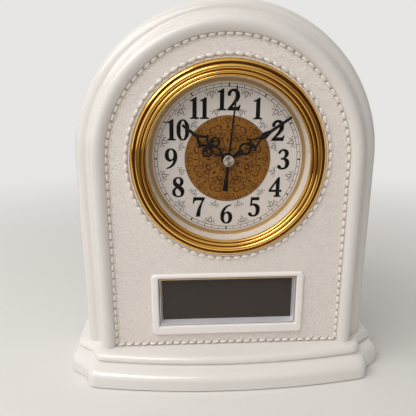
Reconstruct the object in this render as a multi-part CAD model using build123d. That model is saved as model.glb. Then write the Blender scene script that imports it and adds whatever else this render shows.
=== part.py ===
from build123d import *
import math
import os

# Arched desk clock with an analogue dial above a digital display.
# The clock stands on its feet at z = 0 and looks towards -Y, with +X to its right as seen from the front.
# The origin is the middle of its footprint. All sizes are in millimetres.

os.makedirs("parts", exist_ok=True)

# Height of the clock's parts
PLINTH_TOP_Z = 22.4
FOOT_PROUD = 0.8
CASE_BOTTOM = PLINTH_TOP_Z

# Walls and clearances
WALL = 2.6
COVER_THICK = 2.5
SEAT_GAP = 0.2
RUN_GAP = 0.3
PANEL_FIT = 0.03

# Front moulding of the case, out from the panel: band, cove and bead
BAND_INNER = 86.6
BAND_WIDTH = 10.6
BAND_PROUD = 4.5
COVE_WIDTH = 4.4
COVE_DEPTH = 7.6
BEAD_WIDTH = 7.6
BEAD_DEPTH = 8.4
CASE_DEPTH = 50.0
BAND_OUTER = BAND_INNER + BAND_WIDTH
BEAD_INNER = BAND_OUTER + COVE_WIDTH
CASE_HALF_WIDTH = BEAD_INNER + BEAD_WIDTH
CASE_INNER = CASE_HALF_WIDTH - WALL

# Plinth outline and moulding
PLINTH_REACH = 31.8
PLINTH_BACK_MARGIN = 1.8
UPPER_LEDGE = 9.4
UPPER_SETBACK = 9.9
LOWER_LEDGE = 3.4
PLINTH_BOW = 10.6
PLINTH_CORNER_IN = 17.2
PLINTH_WAIST_IN = 13.1
PLINTH_WAIST_BACK = 23.8
PLINTH_TIP_BACK = 35.0
PLINTH_CORNER_ROUND = 9.0
PLINTH_WAIST_ROUND = 8.0
PLINTH_TIP_ROUND = 4.5
LOWER_EDGE_Z = 7.6
NECK_Z = 15.5
COVE_RISE = 0.6
NECK_INSET = 1.6
TOP_ROUND = 4.6
PLINTH_WALL = 4.0
HOLLOW_MARGIN = 8.0
BASE_THICK = 2.0
FOOT_RADIUS = 8.0
FOOT_SINK = 0.7
FOOT_SIDE_INSET = 30.0
FOOT_FRONT_INSET = 25.8
FOOT_BACK_INSET = 13.8
UPPER_HALF_WIDTH = CASE_HALF_WIDTH + UPPER_LEDGE
UPPER_REACH = PLINTH_REACH - UPPER_SETBACK
PLINTH_HALF_WIDTH = UPPER_HALF_WIDTH + LOWER_LEDGE
PLINTH_DEPTH = PLINTH_REACH + CASE_DEPTH + PLINTH_BACK_MARGIN
PANEL_Y = PLINTH_REACH - PLINTH_DEPTH / 2
CASE_BACK_Y = PANEL_Y + CASE_DEPTH
COVER_Y = CASE_BACK_Y - COVER_THICK
PLINTH_FRONT_Y = PANEL_Y - PLINTH_REACH
PLINTH_BACK_Y = PLINTH_FRONT_Y + PLINTH_DEPTH

# Leather-look panel and its rope trims
PANEL_THICK = 2.2
FRONT_WALL = 2.5
ROPE_INSET = 1.6
ROPE_WIDTH = 2.4
ROPE_PROUD = 1.5
ROPE_HALF_WIDTH = BAND_INNER - ROPE_INSET
WALL_BACK_DEPTH = PANEL_THICK + FRONT_WALL

# Digital display
LCD_HALF_WIDTH = 49.6
LCD_HEIGHT = 34.2
LCD_DEPTH = 3.0
LCD_SURROUND_PROUD = 1.0
LCD_SILL_RISE = 1.8
LCD_SILL_LIP = 0.8
LCD_SIDE_SLOPE = 1.3
LCD_SIDE_LIP = 0.5
LCD_TOP_SLOPE = 0.4
LCD_TOP_LIP = 0.4
LCD_GROOVE = 0.7
LCD_FRAME_WIDTH = 5.5
LCD_FRAME_TOP_WIDTH = 3.4
LCD_FRAME_FOOT_WIDTH = 7.5
LCD_FRAME_PROUD = 2.6
LCD_FRAME_CORNER = 3.5
LCD_FRAME_ROUND = 1.6
LCD_FRAME_LIFT = 9.2
LCD_OVERLAP = 1.5
LCD_WINDOW_THICK = 1.5
LCD_CELL_THICK = 2.2
LCD_BOARD_THICK = 1.6
LCD_STRIP_INSET = 6.1
LCD_STRIP_WIDTH = 2.0
LCD_STRIP_HEIGHT = 4.6
LCD_HOLDER_RIM = 4.0
LCD_CABLE_RADIUS = 0.9
LCD_FRAME_HALF_WIDTH = LCD_HALF_WIDTH + LCD_SIDE_SLOPE + LCD_SIDE_LIP + LCD_GROOVE + LCD_FRAME_WIDTH
LCD_FRAME_LOW_Z = CASE_BOTTOM + LCD_FRAME_LIFT
LCD_OPENING_LOW_Z = LCD_FRAME_LOW_Z + LCD_FRAME_FOOT_WIDTH + LCD_GROOVE
LCD_LOW_Z = LCD_OPENING_LOW_Z + LCD_SILL_LIP + LCD_SILL_RISE
LCD_HIGH_Z = LCD_LOW_Z + LCD_HEIGHT
LCD_OPENING_HIGH_Z = LCD_HIGH_Z + LCD_TOP_SLOPE + LCD_TOP_LIP
LCD_FRAME_HIGH_Z = LCD_OPENING_HIGH_Z + LCD_GROOVE + LCD_FRAME_TOP_WIDTH
HOLDER_FRONT = max(WALL_BACK_DEPTH, LCD_DEPTH + LCD_WINDOW_THICK)
HOLDER_BACK = HOLDER_FRONT + LCD_CELL_THICK + LCD_STRIP_HEIGHT
HOLDER_HALF = LCD_FRAME_HALF_WIDTH + LCD_HOLDER_RIM

# Lens, bezel and dial, from the middle outwards
LENS_RADIUS = 59.6
LENS_THICK = 1.5
LENS_DEPTH = 1.1
LIP_WIDTH = 2.0
LIP_PROUD = 3.4
INNER_RING_WIDTH = 2.3
MIDDLE_RING_WIDTH = 4.3
OUTER_RING_WIDTH = 3.0
RING_PROUD = 4.2
RING_EDGE_PROUD = 2.9
RIM_WIDTH = 1.9
RIM_LOW = 0.4
RIM_PROUD = 2.5
OUTER_GROOVE_WIDTH = 1.5
MIDDLE_GROOVE_WIDTH = 0.8
INNER_GROOVE_WIDTH = 0.6
INNER_GROOVE_INSET = 0.4
SKIRT_WALL = 1.8
DIAL_ROPE_MARGIN = 2.3
DIAL_RING_INSET = 0.9
DIAL_RING_WIDTH = 2.6
DIAL_RING_THICK = 0.6
DIAL_THICK = 0.6
DIAL_LIFT = 12.2
DIAL_RISE = 1.0
CARRIER_THICK = 2.0
MEDALLION_RADIUS = 31.0
MEDALLION_THICK = 0.15
FLANGE_WIDTH = 7.4
FLANGE_THICK = 2.0
FLANGE_SCREW_INSET = 3.4
LIP_RADIUS = LENS_RADIUS - LIP_WIDTH
INNER_GROOVE_RADIUS = LENS_RADIUS - INNER_GROOVE_INSET
MIDDLE_RING_RADIUS = LENS_RADIUS + INNER_RING_WIDTH
OUTER_RING_RADIUS = MIDDLE_RING_RADIUS + MIDDLE_RING_WIDTH
BEZEL_RADIUS = OUTER_RING_RADIUS + OUTER_RING_WIDTH
DIAL_ROPE_RADIUS = BEZEL_RADIUS + DIAL_ROPE_MARGIN
DIAL_RING_OUTER = LIP_RADIUS - DIAL_RING_INSET
DIAL_RING_INNER = DIAL_RING_OUTER - DIAL_RING_WIDTH
SKIRT_OUTER = LENS_RADIUS + SEAT_GAP + SKIRT_WALL
WELL_RING_OUTER = LENS_RADIUS + SEAT_GAP / 2
FLANGE_RADIUS = SKIRT_OUTER + FLANGE_WIDTH
FLANGE_SCREW_RADIUS = FLANGE_RADIUS - FLANGE_SCREW_INSET
DIAL_Z = LCD_FRAME_HIGH_Z + DIAL_LIFT + DIAL_ROPE_RADIUS
ARCH_Z = DIAL_Z - DIAL_RISE

# Hands, at nine minutes past ten
MINUTE_ANGLE = 56.0
HOUR_ANGLE = 307.6
SECOND_ANGLE = 6.3
HAND_THICK = 0.45
CAP_RADIUS = 3.9
CAP_THICK = 1.1
CAP_GAP = 0.65
SECOND_TO_MINUTE = 1.5
MINUTE_TO_HOUR = 1.8
HOUR_TO_DIAL = 4.4
HOUR_LENGTH = 40.9
TAIL_LENGTH = 22.0
TAIL_WIDTH = 4.0
MINUTE_SHORTER = 0.7
SECOND_SHORTER = 2.1
SECOND_HAND_DEPTH = LENS_DEPTH + CAP_GAP + CAP_THICK + HAND_THICK
MINUTE_HAND_DEPTH = SECOND_HAND_DEPTH + SECOND_TO_MINUTE
HOUR_HAND_DEPTH = MINUTE_HAND_DEPTH + MINUTE_TO_HOUR
DIAL_DEPTH = HOUR_HAND_DEPTH + HOUR_TO_DIAL
MINUTE_LENGTH = DIAL_RING_INNER - MINUTE_SHORTER
SECOND_LENGTH = MINUTE_LENGTH - SECOND_SHORTER

# Quartz movement, round its standard cell
CELL_AA_RADIUS = 7.1
CELL_AA_LENGTH = 49.2
CELL_ROOM = 4.4
CELL_GAP = 0.1
MOVEMENT_WALL = 1.2
PAD_THICK = 1.0
BUSH_RADIUS = 3.5
BUSH_BORE = 2.7
HOUR_TUBE_RADIUS = 2.62
HOUR_TUBE_BORE = 1.75
MINUTE_TUBE_RADIUS = 1.67
MINUTE_TUBE_BORE = 0.8
SECOND_SHAFT_RADIUS = 0.72
PIVOT_RADIUS = 0.45
PIVOT_GAP = 0.06
BEARING_RADIUS = 1.3
NUT_RADIUS = 4.8
NUT_THICK = 1.85
WASHER_THICK = 0.4
WHEEL_THICK = 0.8
COIL_RADIUS = 2.9
COIL_LENGTH = 15.8
MAGNET_RADIUS = 2.9
STATOR_GAP = 0.6
STATOR_ARM = 4.1
STATOR_CORE = 1.2
MOVEMENT_SIZE = CELL_AA_LENGTH + CELL_ROOM + MOVEMENT_WALL * 2
MOVEMENT_THICK = CELL_AA_RADIUS * 2 + MOVEMENT_WALL + CELL_GAP * 2
MOVEMENT_Y = PANEL_Y + DIAL_DEPTH + DIAL_THICK + CARRIER_THICK + PAD_THICK
CELL_AA_DROP = MOVEMENT_SIZE / 2 - MOVEMENT_WALL - CELL_AA_RADIUS - CELL_GAP
CELL_AA_DEPTH = CELL_AA_RADIUS + MOVEMENT_WALL + CELL_GAP
CELL_AA_LEFT = -CELL_AA_LENGTH / 2 - 0.2
COIL_Z = DIAL_Z + MOVEMENT_SIZE / 2 - MOVEMENT_WALL - SEAT_GAP - COIL_RADIUS

# Gear train: teeth, and the distance and direction from one arbor to the next
ROTOR_TEETH = 8
FIFTH_TEETH = 40
FIFTH_PINION_TEETH = 10
SECOND_TEETH = 60
SECOND_PINION_TEETH = 8
THIRD_TEETH = 64
THIRD_PINION_TEETH = 8
CENTRE_TEETH = 60
MINUTE_PINION_TEETH = 12
REVERSE_TEETH = 36
REVERSE_PINION_TEETH = 10
HOUR_TEETH = 40
KNOB_PINION_TEETH = 12
ROTOR_DISTANCE = 7.2
ROTOR_DIRECTION = 130.0
FIFTH_DISTANCE = 12.6
FIFTH_DIRECTION = 60.0
THIRD_DISTANCE = 12.24
THIRD_DIRECTION = 170.0
REVERSE_DISTANCE = 8.4
REVERSE_DIRECTION = 340.0
KNOB_DIRECTION = 0.0
TOOTH_ADDENDUM = 0.75
TOOTH_DEDENDUM = 1.15
TOOTH_TIP = 0.11
TOOTH_MIDDLE = 0.205
TOOTH_ROOT = 0.25

# How deep each wheel lies behind the movement's front face
LAYER_GAP = 0.7
PINION_OVERHANG = 0.1
HOUR_LAYER = MOVEMENT_WALL + RUN_GAP
REVERSE_LAYER = HOUR_LAYER + WHEEL_THICK + LAYER_GAP
CENTRE_LAYER = REVERSE_LAYER + WHEEL_THICK + LAYER_GAP - PINION_OVERHANG
THIRD_LAYER = CENTRE_LAYER + WHEEL_THICK + LAYER_GAP
SECOND_LAYER = THIRD_LAYER + WHEEL_THICK + LAYER_GAP
FIFTH_LAYER = SECOND_LAYER + WHEEL_THICK + LAYER_GAP
STATOR_LAYER = FIFTH_LAYER + WHEEL_THICK + 1.3
BOARD_LAYER = STATOR_LAYER + 1.4
BACK_WALL = MOVEMENT_THICK - MOVEMENT_WALL
FRONT_BOSS_END = CENTRE_LAYER - 0.4

# Access well to the movement through the rear cover
WELL_MARGIN = 9.0
WELL_WALL = 1.8
WELL_CORNER = 5.0
WELL_RIM_GAP = 1.5
WELL_HALF_WIDTH = MOVEMENT_SIZE / 2 + WELL_MARGIN

# Battery bay of the display, round its two small cells
CELL_AAA_RADIUS = 5.15
CELL_AAA_LENGTH = 43.6
NUB_LENGTH = 0.9
BAY_LIFT = 9.0
BAY_END_ROOM = 4.0
BAY_SIDE_ROOM = 3.8
BAY_DEPTH_ROOM = 2.1
BAY_WALL = 1.5
DOOR_THICK = 1.8
DOOR_LIP = 1.6
DOOR_PIN_RADIUS = 0.6
DOOR_PIN_LENGTH = 1.2
BAY_HALF_WIDTH = CELL_AAA_LENGTH / 2 + BAY_END_ROOM
BAY_HEIGHT = CELL_AAA_RADIUS * 4 + BAY_SIDE_ROOM
BAY_DEPTH = CELL_AAA_RADIUS * 2 + BAY_DEPTH_ROOM
BAY_LOW_Z = CASE_BOTTOM + BAY_LIFT
BAY_HIGH_Z = BAY_LOW_Z + BAY_HEIGHT
DOOR_HALF_WIDTH = BAY_HALF_WIDTH + DOOR_LIP

# Buttons on the rear cover
BUTTON_LIFT = 18.2
BUTTON_GAP = 7.4
BUTTON_COUNT = 4
BUTTON_RADIUS = 3.6
BUTTON_RIM = 1.2
BUTTON_FLANGE_THICK = 1.2
BUTTON_PROUD = 1.4
BUTTON_TRAVEL = 0.8
BUTTON_SEAT = 0.15
SWITCH_SIZE = 6.0
SWITCH_HEIGHT = 3.0
SWITCH_GAP = 0.75
BUTTON_BOARD_THICK = 1.6
BUTTON_Z = BAY_HIGH_Z + BUTTON_LIFT
BUTTON_FLANGE = BUTTON_RADIUS + BUTTON_RIM
BUTTON_PITCH = BUTTON_FLANGE * 2 + BUTTON_GAP
BUTTON_BOARD_DROP = BUTTON_SEAT + BUTTON_FLANGE_THICK + BUTTON_TRAVEL + SWITCH_GAP + SWITCH_HEIGHT

# Screws
SCREW_RADIUS = 1.2
SCREW_HEAD_RADIUS = 2.8
SCREW_HEAD_THICK = 1.6
PILOT_RADIUS = 1.25
HOLE_RADIUS = 1.7
BOSS_RADIUS = 4.0
COVER_SCREW_LENGTH = 12.0
SMALL_SCREW_RADIUS = 0.8
SMALL_PILOT_RADIUS = 0.85
SMALL_HOLE_RADIUS = 1.0
SMALL_HEAD_RADIUS = 1.8
SMALL_HEAD_THICK = 1.0
CASE_FOOT_BOSS_HEIGHT = 11.0
COVER_SCREW_OUT = 2.9
COVER_SCREW_LOW = 25.6
COVER_SCREW_DROP = 19.2
COVER_SCREW_TURN = 54.6
PLINTH_SCREW_IN = 29.2
PLINTH_SCREW_FRONT = 14.0
PLINTH_SCREW_BACK = 10.0
BASE_SCREW_IN = 62.0
BASE_SCREW_FRONT = 19.8
BASE_SCREW_BACK = 7.8

PARTS = {}


def keep(name, shape):
    """Files one finished sub-part under its node name."""
    PARTS[name] = shape


def at(depth):
    """Gives the y of a place this far behind the face of the panel."""
    return PANEL_Y + depth


def deep(depth):
    """Gives the y of a place this far behind the movement's front face."""
    return MOVEMENT_Y + depth


def upright(sketch, y_front, y_back, x=0.0, z=0.0):
    """Stands a drawing of the front view up at x and z, and gives it depth."""
    stand = Plane(origin=(x, y_back, z), x_dir=(1, 0, 0), z_dir=(0, -1, 0))
    return extrude(stand * sketch, amount=y_back - y_front)


def flat(sketch, z_low, z_high):
    """Gives a drawing of the plan height from z_low to z_high."""
    return extrude(Pos(0, 0, z_low) * sketch, amount=z_high - z_low)


def rod(x, z, radius, y_front, y_back):
    """A round bar along the depth of the clock."""
    return upright(Circle(radius), y_front, y_back, x, z)


def tube(x, z, radius, bore, y_front, y_back):
    """A round bar with a bore along the depth of the clock."""
    return upright(Circle(radius) - Circle(bore), y_front, y_back, x, z)


def post(x, y, radius, z_low, z_high):
    """A round bar along the height of the clock."""
    return flat(Pos(x, y) * Circle(radius), z_low, z_high)


def block(x_low, x_high, y_low, y_high, z_low, z_high):
    """A plain block between its two corners."""
    size = (x_high - x_low, y_high - y_low, z_high - z_low)
    return Pos((x_low + x_high) / 2, (y_low + y_high) / 2, (z_low + z_high) / 2) * Box(*size)


def arch(half_width, bottom):
    """Front view of an arch: a half circle on two straight sides."""
    left = Line((-half_width, bottom), (-half_width, ARCH_Z))
    top = ThreePointArc((-half_width, ARCH_Z), (0, ARCH_Z + half_width), (half_width, ARCH_Z))
    right = Line((half_width, ARCH_Z), (half_width, bottom))
    base = Line((half_width, bottom), (-half_width, bottom))
    return make_face([left, top, right, base])


def along_arch(profile, bottom):
    """Carries a section, drawn as distance from the middle and y, round the whole arch."""
    start = Pos(0, 0, ARCH_Z) * profile
    crown = revolve(start, Axis((0, 0, ARCH_Z), (0, -1, 0)), 180)
    leg = extrude(start, amount=ARCH_Z - bottom, dir=(0, 0, -1))
    return crown + leg + mirror(leg, Plane.YZ)


def turned(profile):
    """Turns a section, drawn as radius and y, about the dial's axis."""
    return revolve(Pos(0, 0, DIAL_Z) * profile, Axis((0, 0, DIAL_Z), (0, 1, 0)), 360)


def loop(points):
    """A closed outline with straight sides."""
    return make_face(Polyline(*points, close=True))


def ring(outer, inner):
    """A flat ring."""
    return Circle(outer) - Circle(inner)


def screw(x, z, radius, head_radius, head_thick, y_head, length, toward):
    """A screw along the depth: its head lies outside y_head, and its shank runs toward -1 or +1."""
    shank_end = y_head + toward * length
    head_end = y_head - toward * head_thick
    shank = rod(x, z, radius, min(y_head, shank_end), max(y_head, shank_end))
    head = rod(x, z, head_radius, min(y_head, head_end), max(y_head, head_end))
    slot_high = head_end + toward * head_thick / 2
    slot = block(
        x - head_radius / 4, x + head_radius / 4, min(head_end, slot_high), max(head_end, slot_high),
        z - head_radius / 2, z + head_radius / 2,
    )
    return shank + head - slot


def both_sides(places):
    """The given places and their mirror images on the other side of the clock."""
    return places + [(-x, other) for x, other in places]


def cover_screw_places():
    """Places of the rear cover's screws in the front view."""
    out = BAND_INNER + COVER_SCREW_OUT
    across, up = polar(out, COVER_SCREW_TURN)
    low = (out, CASE_BOTTOM + COVER_SCREW_LOW)
    return both_sides([low, (out, ARCH_Z - COVER_SCREW_DROP), (across, ARCH_Z + up)])


def plinth_screw_places():
    """Places of the screws between plinth and case, as x and depth."""
    x = CASE_HALF_WIDTH - PLINTH_SCREW_IN
    return both_sides([(x, PLINTH_SCREW_FRONT), (x, CASE_DEPTH - PLINTH_SCREW_BACK)])


def base_screw_places():
    """Places of the base plate's screws, as x and depth."""
    x = PLINTH_HALF_WIDTH - BASE_SCREW_IN
    front = BASE_SCREW_FRONT - PLINTH_REACH
    back = CASE_DEPTH + PLINTH_BACK_MARGIN - BASE_SCREW_BACK
    return both_sides([(x, front), (x, back)])


def case_profile():
    """Section of the case: band, cove, bead, side wall and the hollow behind them."""
    band_front = ((BAND_INNER + BAND_OUTER) / 2 - 0.4, at(-BAND_PROUD))
    band_in = (BAND_INNER, at(-1.2))
    band_out = (BAND_OUTER, at(1.0))
    cove_in = (BAND_OUTER + 0.7, at(3.0))
    bead_in = (BEAD_INNER, at(BEAD_DEPTH))
    bead_out = (CASE_HALF_WIDTH, at(BEAD_DEPTH * 2))
    back_out = (CASE_HALF_WIDTH, CASE_BACK_Y)
    back_in = (CASE_INNER, CASE_BACK_Y)
    side_in = (CASE_INNER, at(BEAD_DEPTH * 2 + WALL))
    cove_back = (BEAD_INNER - WALL, at(BEAD_DEPTH + WALL * 1.4))
    wall_back = (BAND_OUTER - WALL, at(WALL_BACK_DEPTH))
    recess_back = (BAND_INNER, at(WALL_BACK_DEPTH))
    cove_middle = (BAND_OUTER + COVE_WIDTH * 0.42, at(COVE_DEPTH - 0.9))
    bead_middle = (CASE_HALF_WIDTH - (CASE_HALF_WIDTH - BEAD_INNER) * 0.3, at(BEAD_DEPTH * 1.27))
    edges = [
        ThreePointArc(band_in, band_front, band_out),
        Line(band_out, cove_in),
        ThreePointArc(cove_in, cove_middle, bead_in),
        ThreePointArc(bead_in, bead_middle, bead_out),
        Line(bead_out, back_out),
        Line(back_out, back_in),
        Line(back_in, side_in),
        Line(side_in, cove_back),
        Line(cove_back, wall_back),
        Line(wall_back, recess_back),
        Line(recess_back, band_in),
    ]
    return make_face(edges)


def front_case():
    """The moulded arch with its front wall, floor and screw bosses."""
    case = along_arch(case_profile(), CASE_BOTTOM)
    case += upright(arch(BAND_INNER + WALL / 2, CASE_BOTTOM), at(PANEL_THICK), at(WALL_BACK_DEPTH))
    inside = CASE_INNER + WALL / 4
    floor_half = [
        (BAND_OUTER - WALL, at(PANEL_THICK)),
        (BEAD_INNER - WALL, at(BEAD_DEPTH + WALL)),
        (inside, at(BEAD_DEPTH * 2 + WALL)),
        (inside, CASE_BACK_Y),
    ]
    floor_other_half = [(-x, y) for x, y in reversed(floor_half)]
    case += flat(loop(floor_half + floor_other_half), CASE_BOTTOM, CASE_BOTTOM + WALL)
    for x, z in cover_screw_places():
        case += rod(x, z, BOSS_RADIUS, at(PANEL_THICK + 0.5), COVER_Y)
    for x, depth in plinth_screw_places():
        case += post(x, at(depth), BOSS_RADIUS, CASE_BOTTOM, CASE_BOTTOM + CASE_FOOT_BOSS_HEIGHT)
    case -= rod(0, DIAL_Z, SKIRT_OUTER + SEAT_GAP, at(PANEL_THICK - 1), at(WALL_BACK_DEPTH + 1))
    case -= lcd_opening(LCD_GROOVE + SEAT_GAP, at(PANEL_THICK - 1), at(WALL_BACK_DEPTH + 1))
    for x, z in cover_screw_places():
        case -= rod(x, z, PILOT_RADIUS, COVER_Y - COVER_SCREW_LENGTH - 1, COVER_Y + 1)
    for x, depth in plinth_screw_places():
        case -= post(x, at(depth), PILOT_RADIUS, CASE_BOTTOM - 1, CASE_BOTTOM + CASE_FOOT_BOSS_HEIGHT - 1)
    for x, z in flange_screws():
        case -= rod(x, z, SMALL_PILOT_RADIUS, at(PANEL_THICK + 0.4), at(WALL_BACK_DEPTH + 1))
    for x, z in holder_screws():
        case -= rod(x, z, SMALL_PILOT_RADIUS, at(PANEL_THICK + 0.4), at(WALL_BACK_DEPTH + 1))
    return case


def lcd_opening(margin, y_front, y_back):
    """The space inside the display's raised frame and its groove, grown by a margin."""
    half = LCD_FRAME_HALF_WIDTH - LCD_FRAME_WIDTH - LCD_GROOVE + margin
    return block(-half, half, y_front, y_back, LCD_OPENING_LOW_Z - margin, LCD_OPENING_HIGH_Z + margin)


def front_panel():
    """The leather-look board inside the frame, with the dial and display cut out."""
    panel = upright(arch(BAND_INNER - PANEL_FIT, CASE_BOTTOM + PANEL_FIT), at(0), at(PANEL_THICK))
    panel -= rod(0, DIAL_Z, SKIRT_OUTER + SEAT_GAP, at(-1), at(PANEL_THICK + 1))
    return panel - lcd_opening(LCD_GROOVE + SEAT_GAP, at(-1), at(PANEL_THICK + 1))


def rope_section(middle):
    """Half-round section of a rope trim on the face of the panel."""
    low = (middle - ROPE_WIDTH / 2, at(0))
    high = (middle + ROPE_WIDTH / 2, at(0))
    return make_face([ThreePointArc(low, (middle, at(-ROPE_PROUD)), high), Line(high, low)])


def panel_rope():
    """The rope trim that runs round the edge of the panel."""
    low_z = CASE_BOTTOM + ROPE_WIDTH / 2 + SEAT_GAP
    sides = along_arch(rope_section(ROPE_HALF_WIDTH), low_z)
    end = Plane(origin=(-ROPE_HALF_WIDTH, 0, low_z), x_dir=(0, 0, -1), z_dir=(1, 0, 0))
    foot = extrude(end * rope_section(0), amount=ROPE_HALF_WIDTH * 2)
    return sides + foot


def dial_rope():
    """The rope trim round the bezel."""
    return turned(rope_section(DIAL_ROPE_RADIUS))


def bezel():
    """The stepped ring with its skirt, which passes through the panel and the front wall."""
    rim_edge = (BEZEL_RADIUS, at(-RIM_LOW))
    rim_top = (BEZEL_RADIUS - RIM_WIDTH, at(-RIM_PROUD))
    edges = [Line((SKIRT_OUTER, at(WALL_BACK_DEPTH - 0.1)), (SKIRT_OUTER, at(0)))]
    edges += [Line((SKIRT_OUTER, at(0)), (BEZEL_RADIUS, at(0))), Line((BEZEL_RADIUS, at(0)), rim_edge)]
    bulge = (BEZEL_RADIUS - RIM_WIDTH / 2 + 0.15, at(-(RIM_LOW + RIM_PROUD) / 2 - 0.15))
    edges.append(ThreePointArc(rim_edge, bulge, rim_top))
    middle_edge = MIDDLE_RING_RADIUS + MIDDLE_GROOVE_WIDTH / 2
    inner_edge = INNER_GROOVE_RADIUS + INNER_GROOVE_WIDTH / 2
    # Each groove's radius, width and floor, and the crest and inner edge of the ring inside it
    grooves = [
        (OUTER_RING_RADIUS, OUTER_GROOVE_WIDTH, RIM_LOW + 0.8, RING_PROUD, middle_edge),
        (MIDDLE_RING_RADIUS, MIDDLE_GROOVE_WIDTH, RING_EDGE_PROUD - 0.7, RING_PROUD - 0.2, inner_edge),
        (INNER_GROOVE_RADIUS, INNER_GROOVE_WIDTH, RING_EDGE_PROUD - 0.4, LIP_PROUD, LIP_RADIUS),
    ]
    start = rim_top
    for radius, width, floor, crest, ring_end in grooves:
        near = (radius + width / 2 - 0.1, at(-floor))
        far = (radius - width / 2 + 0.1, at(-floor))
        foot = (radius - width / 2, at(-RING_EDGE_PROUD))
        end = (ring_end, at(-RING_EDGE_PROUD))
        top = ((foot[0] + ring_end) / 2, at(-crest))
        edges += [Line(start, near), Line(near, far), Line(far, foot), ThreePointArc(foot, top, end)]
        start = end
    seat = at(LENS_DEPTH - LENS_THICK - 0.1)
    inside = [
        start,
        (LIP_RADIUS, seat),
        (LENS_RADIUS + SEAT_GAP, seat),
        (LENS_RADIUS + SEAT_GAP, at(WALL_BACK_DEPTH - 0.1)),
        (SKIRT_OUTER, at(WALL_BACK_DEPTH - 0.1)),
    ]
    edges += [Line(inside[i], inside[i + 1]) for i in range(len(inside) - 1)]
    return turned(make_face(edges))


def dial_lens():
    """The clear disc behind the lip of the bezel."""
    return rod(0, DIAL_Z, LENS_RADIUS, at(LENS_DEPTH - LENS_THICK), at(LENS_DEPTH))


def flange_screws():
    """Places of the screws that hold the dial well to the front wall."""
    spots = []
    for turn in (45, 135, 225, 315):
        across, up = polar(FLANGE_SCREW_RADIUS, turn)
        spots.append((across, DIAL_Z + up))
    return spots


def dial_well():
    """The white cone between lens and dial, with the flange that is screwed to the front wall."""
    points = [
        (LIP_RADIUS + 0.4, at(LENS_DEPTH)),
        (WELL_RING_OUTER, at(LENS_DEPTH)),
        (WELL_RING_OUTER, at(WALL_BACK_DEPTH)),
        (FLANGE_RADIUS, at(WALL_BACK_DEPTH)),
        (FLANGE_RADIUS, at(WALL_BACK_DEPTH + FLANGE_THICK)),
        (SKIRT_OUTER, at(WALL_BACK_DEPTH + FLANGE_THICK)),
        (SKIRT_OUTER, at(DIAL_DEPTH)),
        (DIAL_RING_OUTER, at(DIAL_DEPTH)),
    ]
    well = turned(loop(points))
    flange_back = at(WALL_BACK_DEPTH + FLANGE_THICK)
    for x, z in flange_screws():
        well -= rod(x, z, SMALL_HOLE_RADIUS, at(WALL_BACK_DEPTH - 1), flange_back + 1)
    for x, z in carrier_screws():
        well -= rod(x, z, SMALL_PILOT_RADIUS, at(DIAL_DEPTH - 2.6), at(DIAL_DEPTH + 1))
    return well


def carrier_screws():
    """Places of the screws that hold the dial and its carrier to the well."""
    middle = (DIAL_RING_OUTER + SKIRT_OUTER) / 2 + 0.6
    spots = []
    for turn in (0, 90, 180, 270):
        across, up = polar(middle, turn)
        spots.append((across, DIAL_Z + up))
    return spots


def dial():
    """The printed dial plate."""
    front = at(DIAL_DEPTH)
    back = front + DIAL_THICK
    plate = tube(0, DIAL_Z, SKIRT_OUTER, BUSH_RADIUS + SEAT_GAP, front, back)
    for x, z in carrier_screws():
        plate -= rod(x, z, SMALL_HOLE_RADIUS, front - 1, back + 1)
    return plate


def dial_ring():
    """The thin gilt ring that lies on the edge of the dial."""
    back = at(DIAL_DEPTH)
    return tube(0, DIAL_Z, DIAL_RING_OUTER, DIAL_RING_INNER, back - DIAL_RING_THICK, back)


def dial_medallion():
    """The bronze foil disc in the middle of the dial."""
    bore = BUSH_RADIUS + SEAT_GAP
    return tube(0, DIAL_Z, MEDALLION_RADIUS, bore, at(DIAL_DEPTH - MEDALLION_THICK), at(DIAL_DEPTH))


def dial_carrier():
    """The plastic disc that stiffens the dial and carries the movement."""
    front = at(DIAL_DEPTH + DIAL_THICK)
    back = front + CARRIER_THICK
    carrier = tube(0, DIAL_Z, SKIRT_OUTER, BUSH_RADIUS + SEAT_GAP, front, back)
    for x, z in carrier_screws():
        carrier -= rod(x, z, SMALL_HOLE_RADIUS, front - 1, back + 1)
    return carrier


def dial_screws():
    """The screws of the well's flange and of the dial carrier."""
    flange_back = at(WALL_BACK_DEPTH + FLANGE_THICK)
    carrier_back = at(DIAL_DEPTH + DIAL_THICK) + CARRIER_THICK
    sizes = (SMALL_SCREW_RADIUS, SMALL_HEAD_RADIUS, SMALL_HEAD_THICK)
    group = [screw(x, z, *sizes, flange_back, FLANGE_THICK + 1.8, -1) for x, z in flange_screws()]
    reach = CARRIER_THICK + DIAL_THICK + 2.2
    group += [screw(x, z, *sizes, carrier_back, reach, -1) for x, z in carrier_screws()]
    return Compound(children=group)


def polar(distance, direction):
    """Offset in the front view, with the direction in degrees up from +X."""
    angle = math.radians(direction)
    return distance * math.cos(angle), distance * math.sin(angle)


def meshing_turn(turn, teeth, direction, other_teeth):
    """Turn of a second wheel that sets a gap of it against the first wheel's nearest tooth."""
    lead = (turn - direction) % (360 / teeth)
    return direction + 180 - lead * teeth / other_teeth + 180 / other_teeth


def gear(place, teeth, module, turn, y_front, thick):
    """A toothed wheel with straight-sided teeth about its pitch circle."""
    radius = module * teeth / 2
    step = 360 / teeth
    levels = (
        (radius - TOOTH_DEDENDUM * module, TOOTH_ROOT),
        (radius, TOOTH_MIDDLE),
        (radius + TOOTH_ADDENDUM * module, TOOTH_TIP),
    )
    points = []
    for tooth in range(teeth):
        middle = tooth * step + turn
        for distance, share in levels:
            points.append(polar(distance, middle - share * step))
        for distance, share in reversed(levels):
            points.append(polar(distance, middle + share * step))
    return upright(loop(points), y_front, y_front + thick, place[0], place[1])


def beside(place, distance, direction):
    """The place at this distance and direction from another."""
    across, up = polar(distance, direction)
    return (place[0] + across, place[1] + up)


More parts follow.
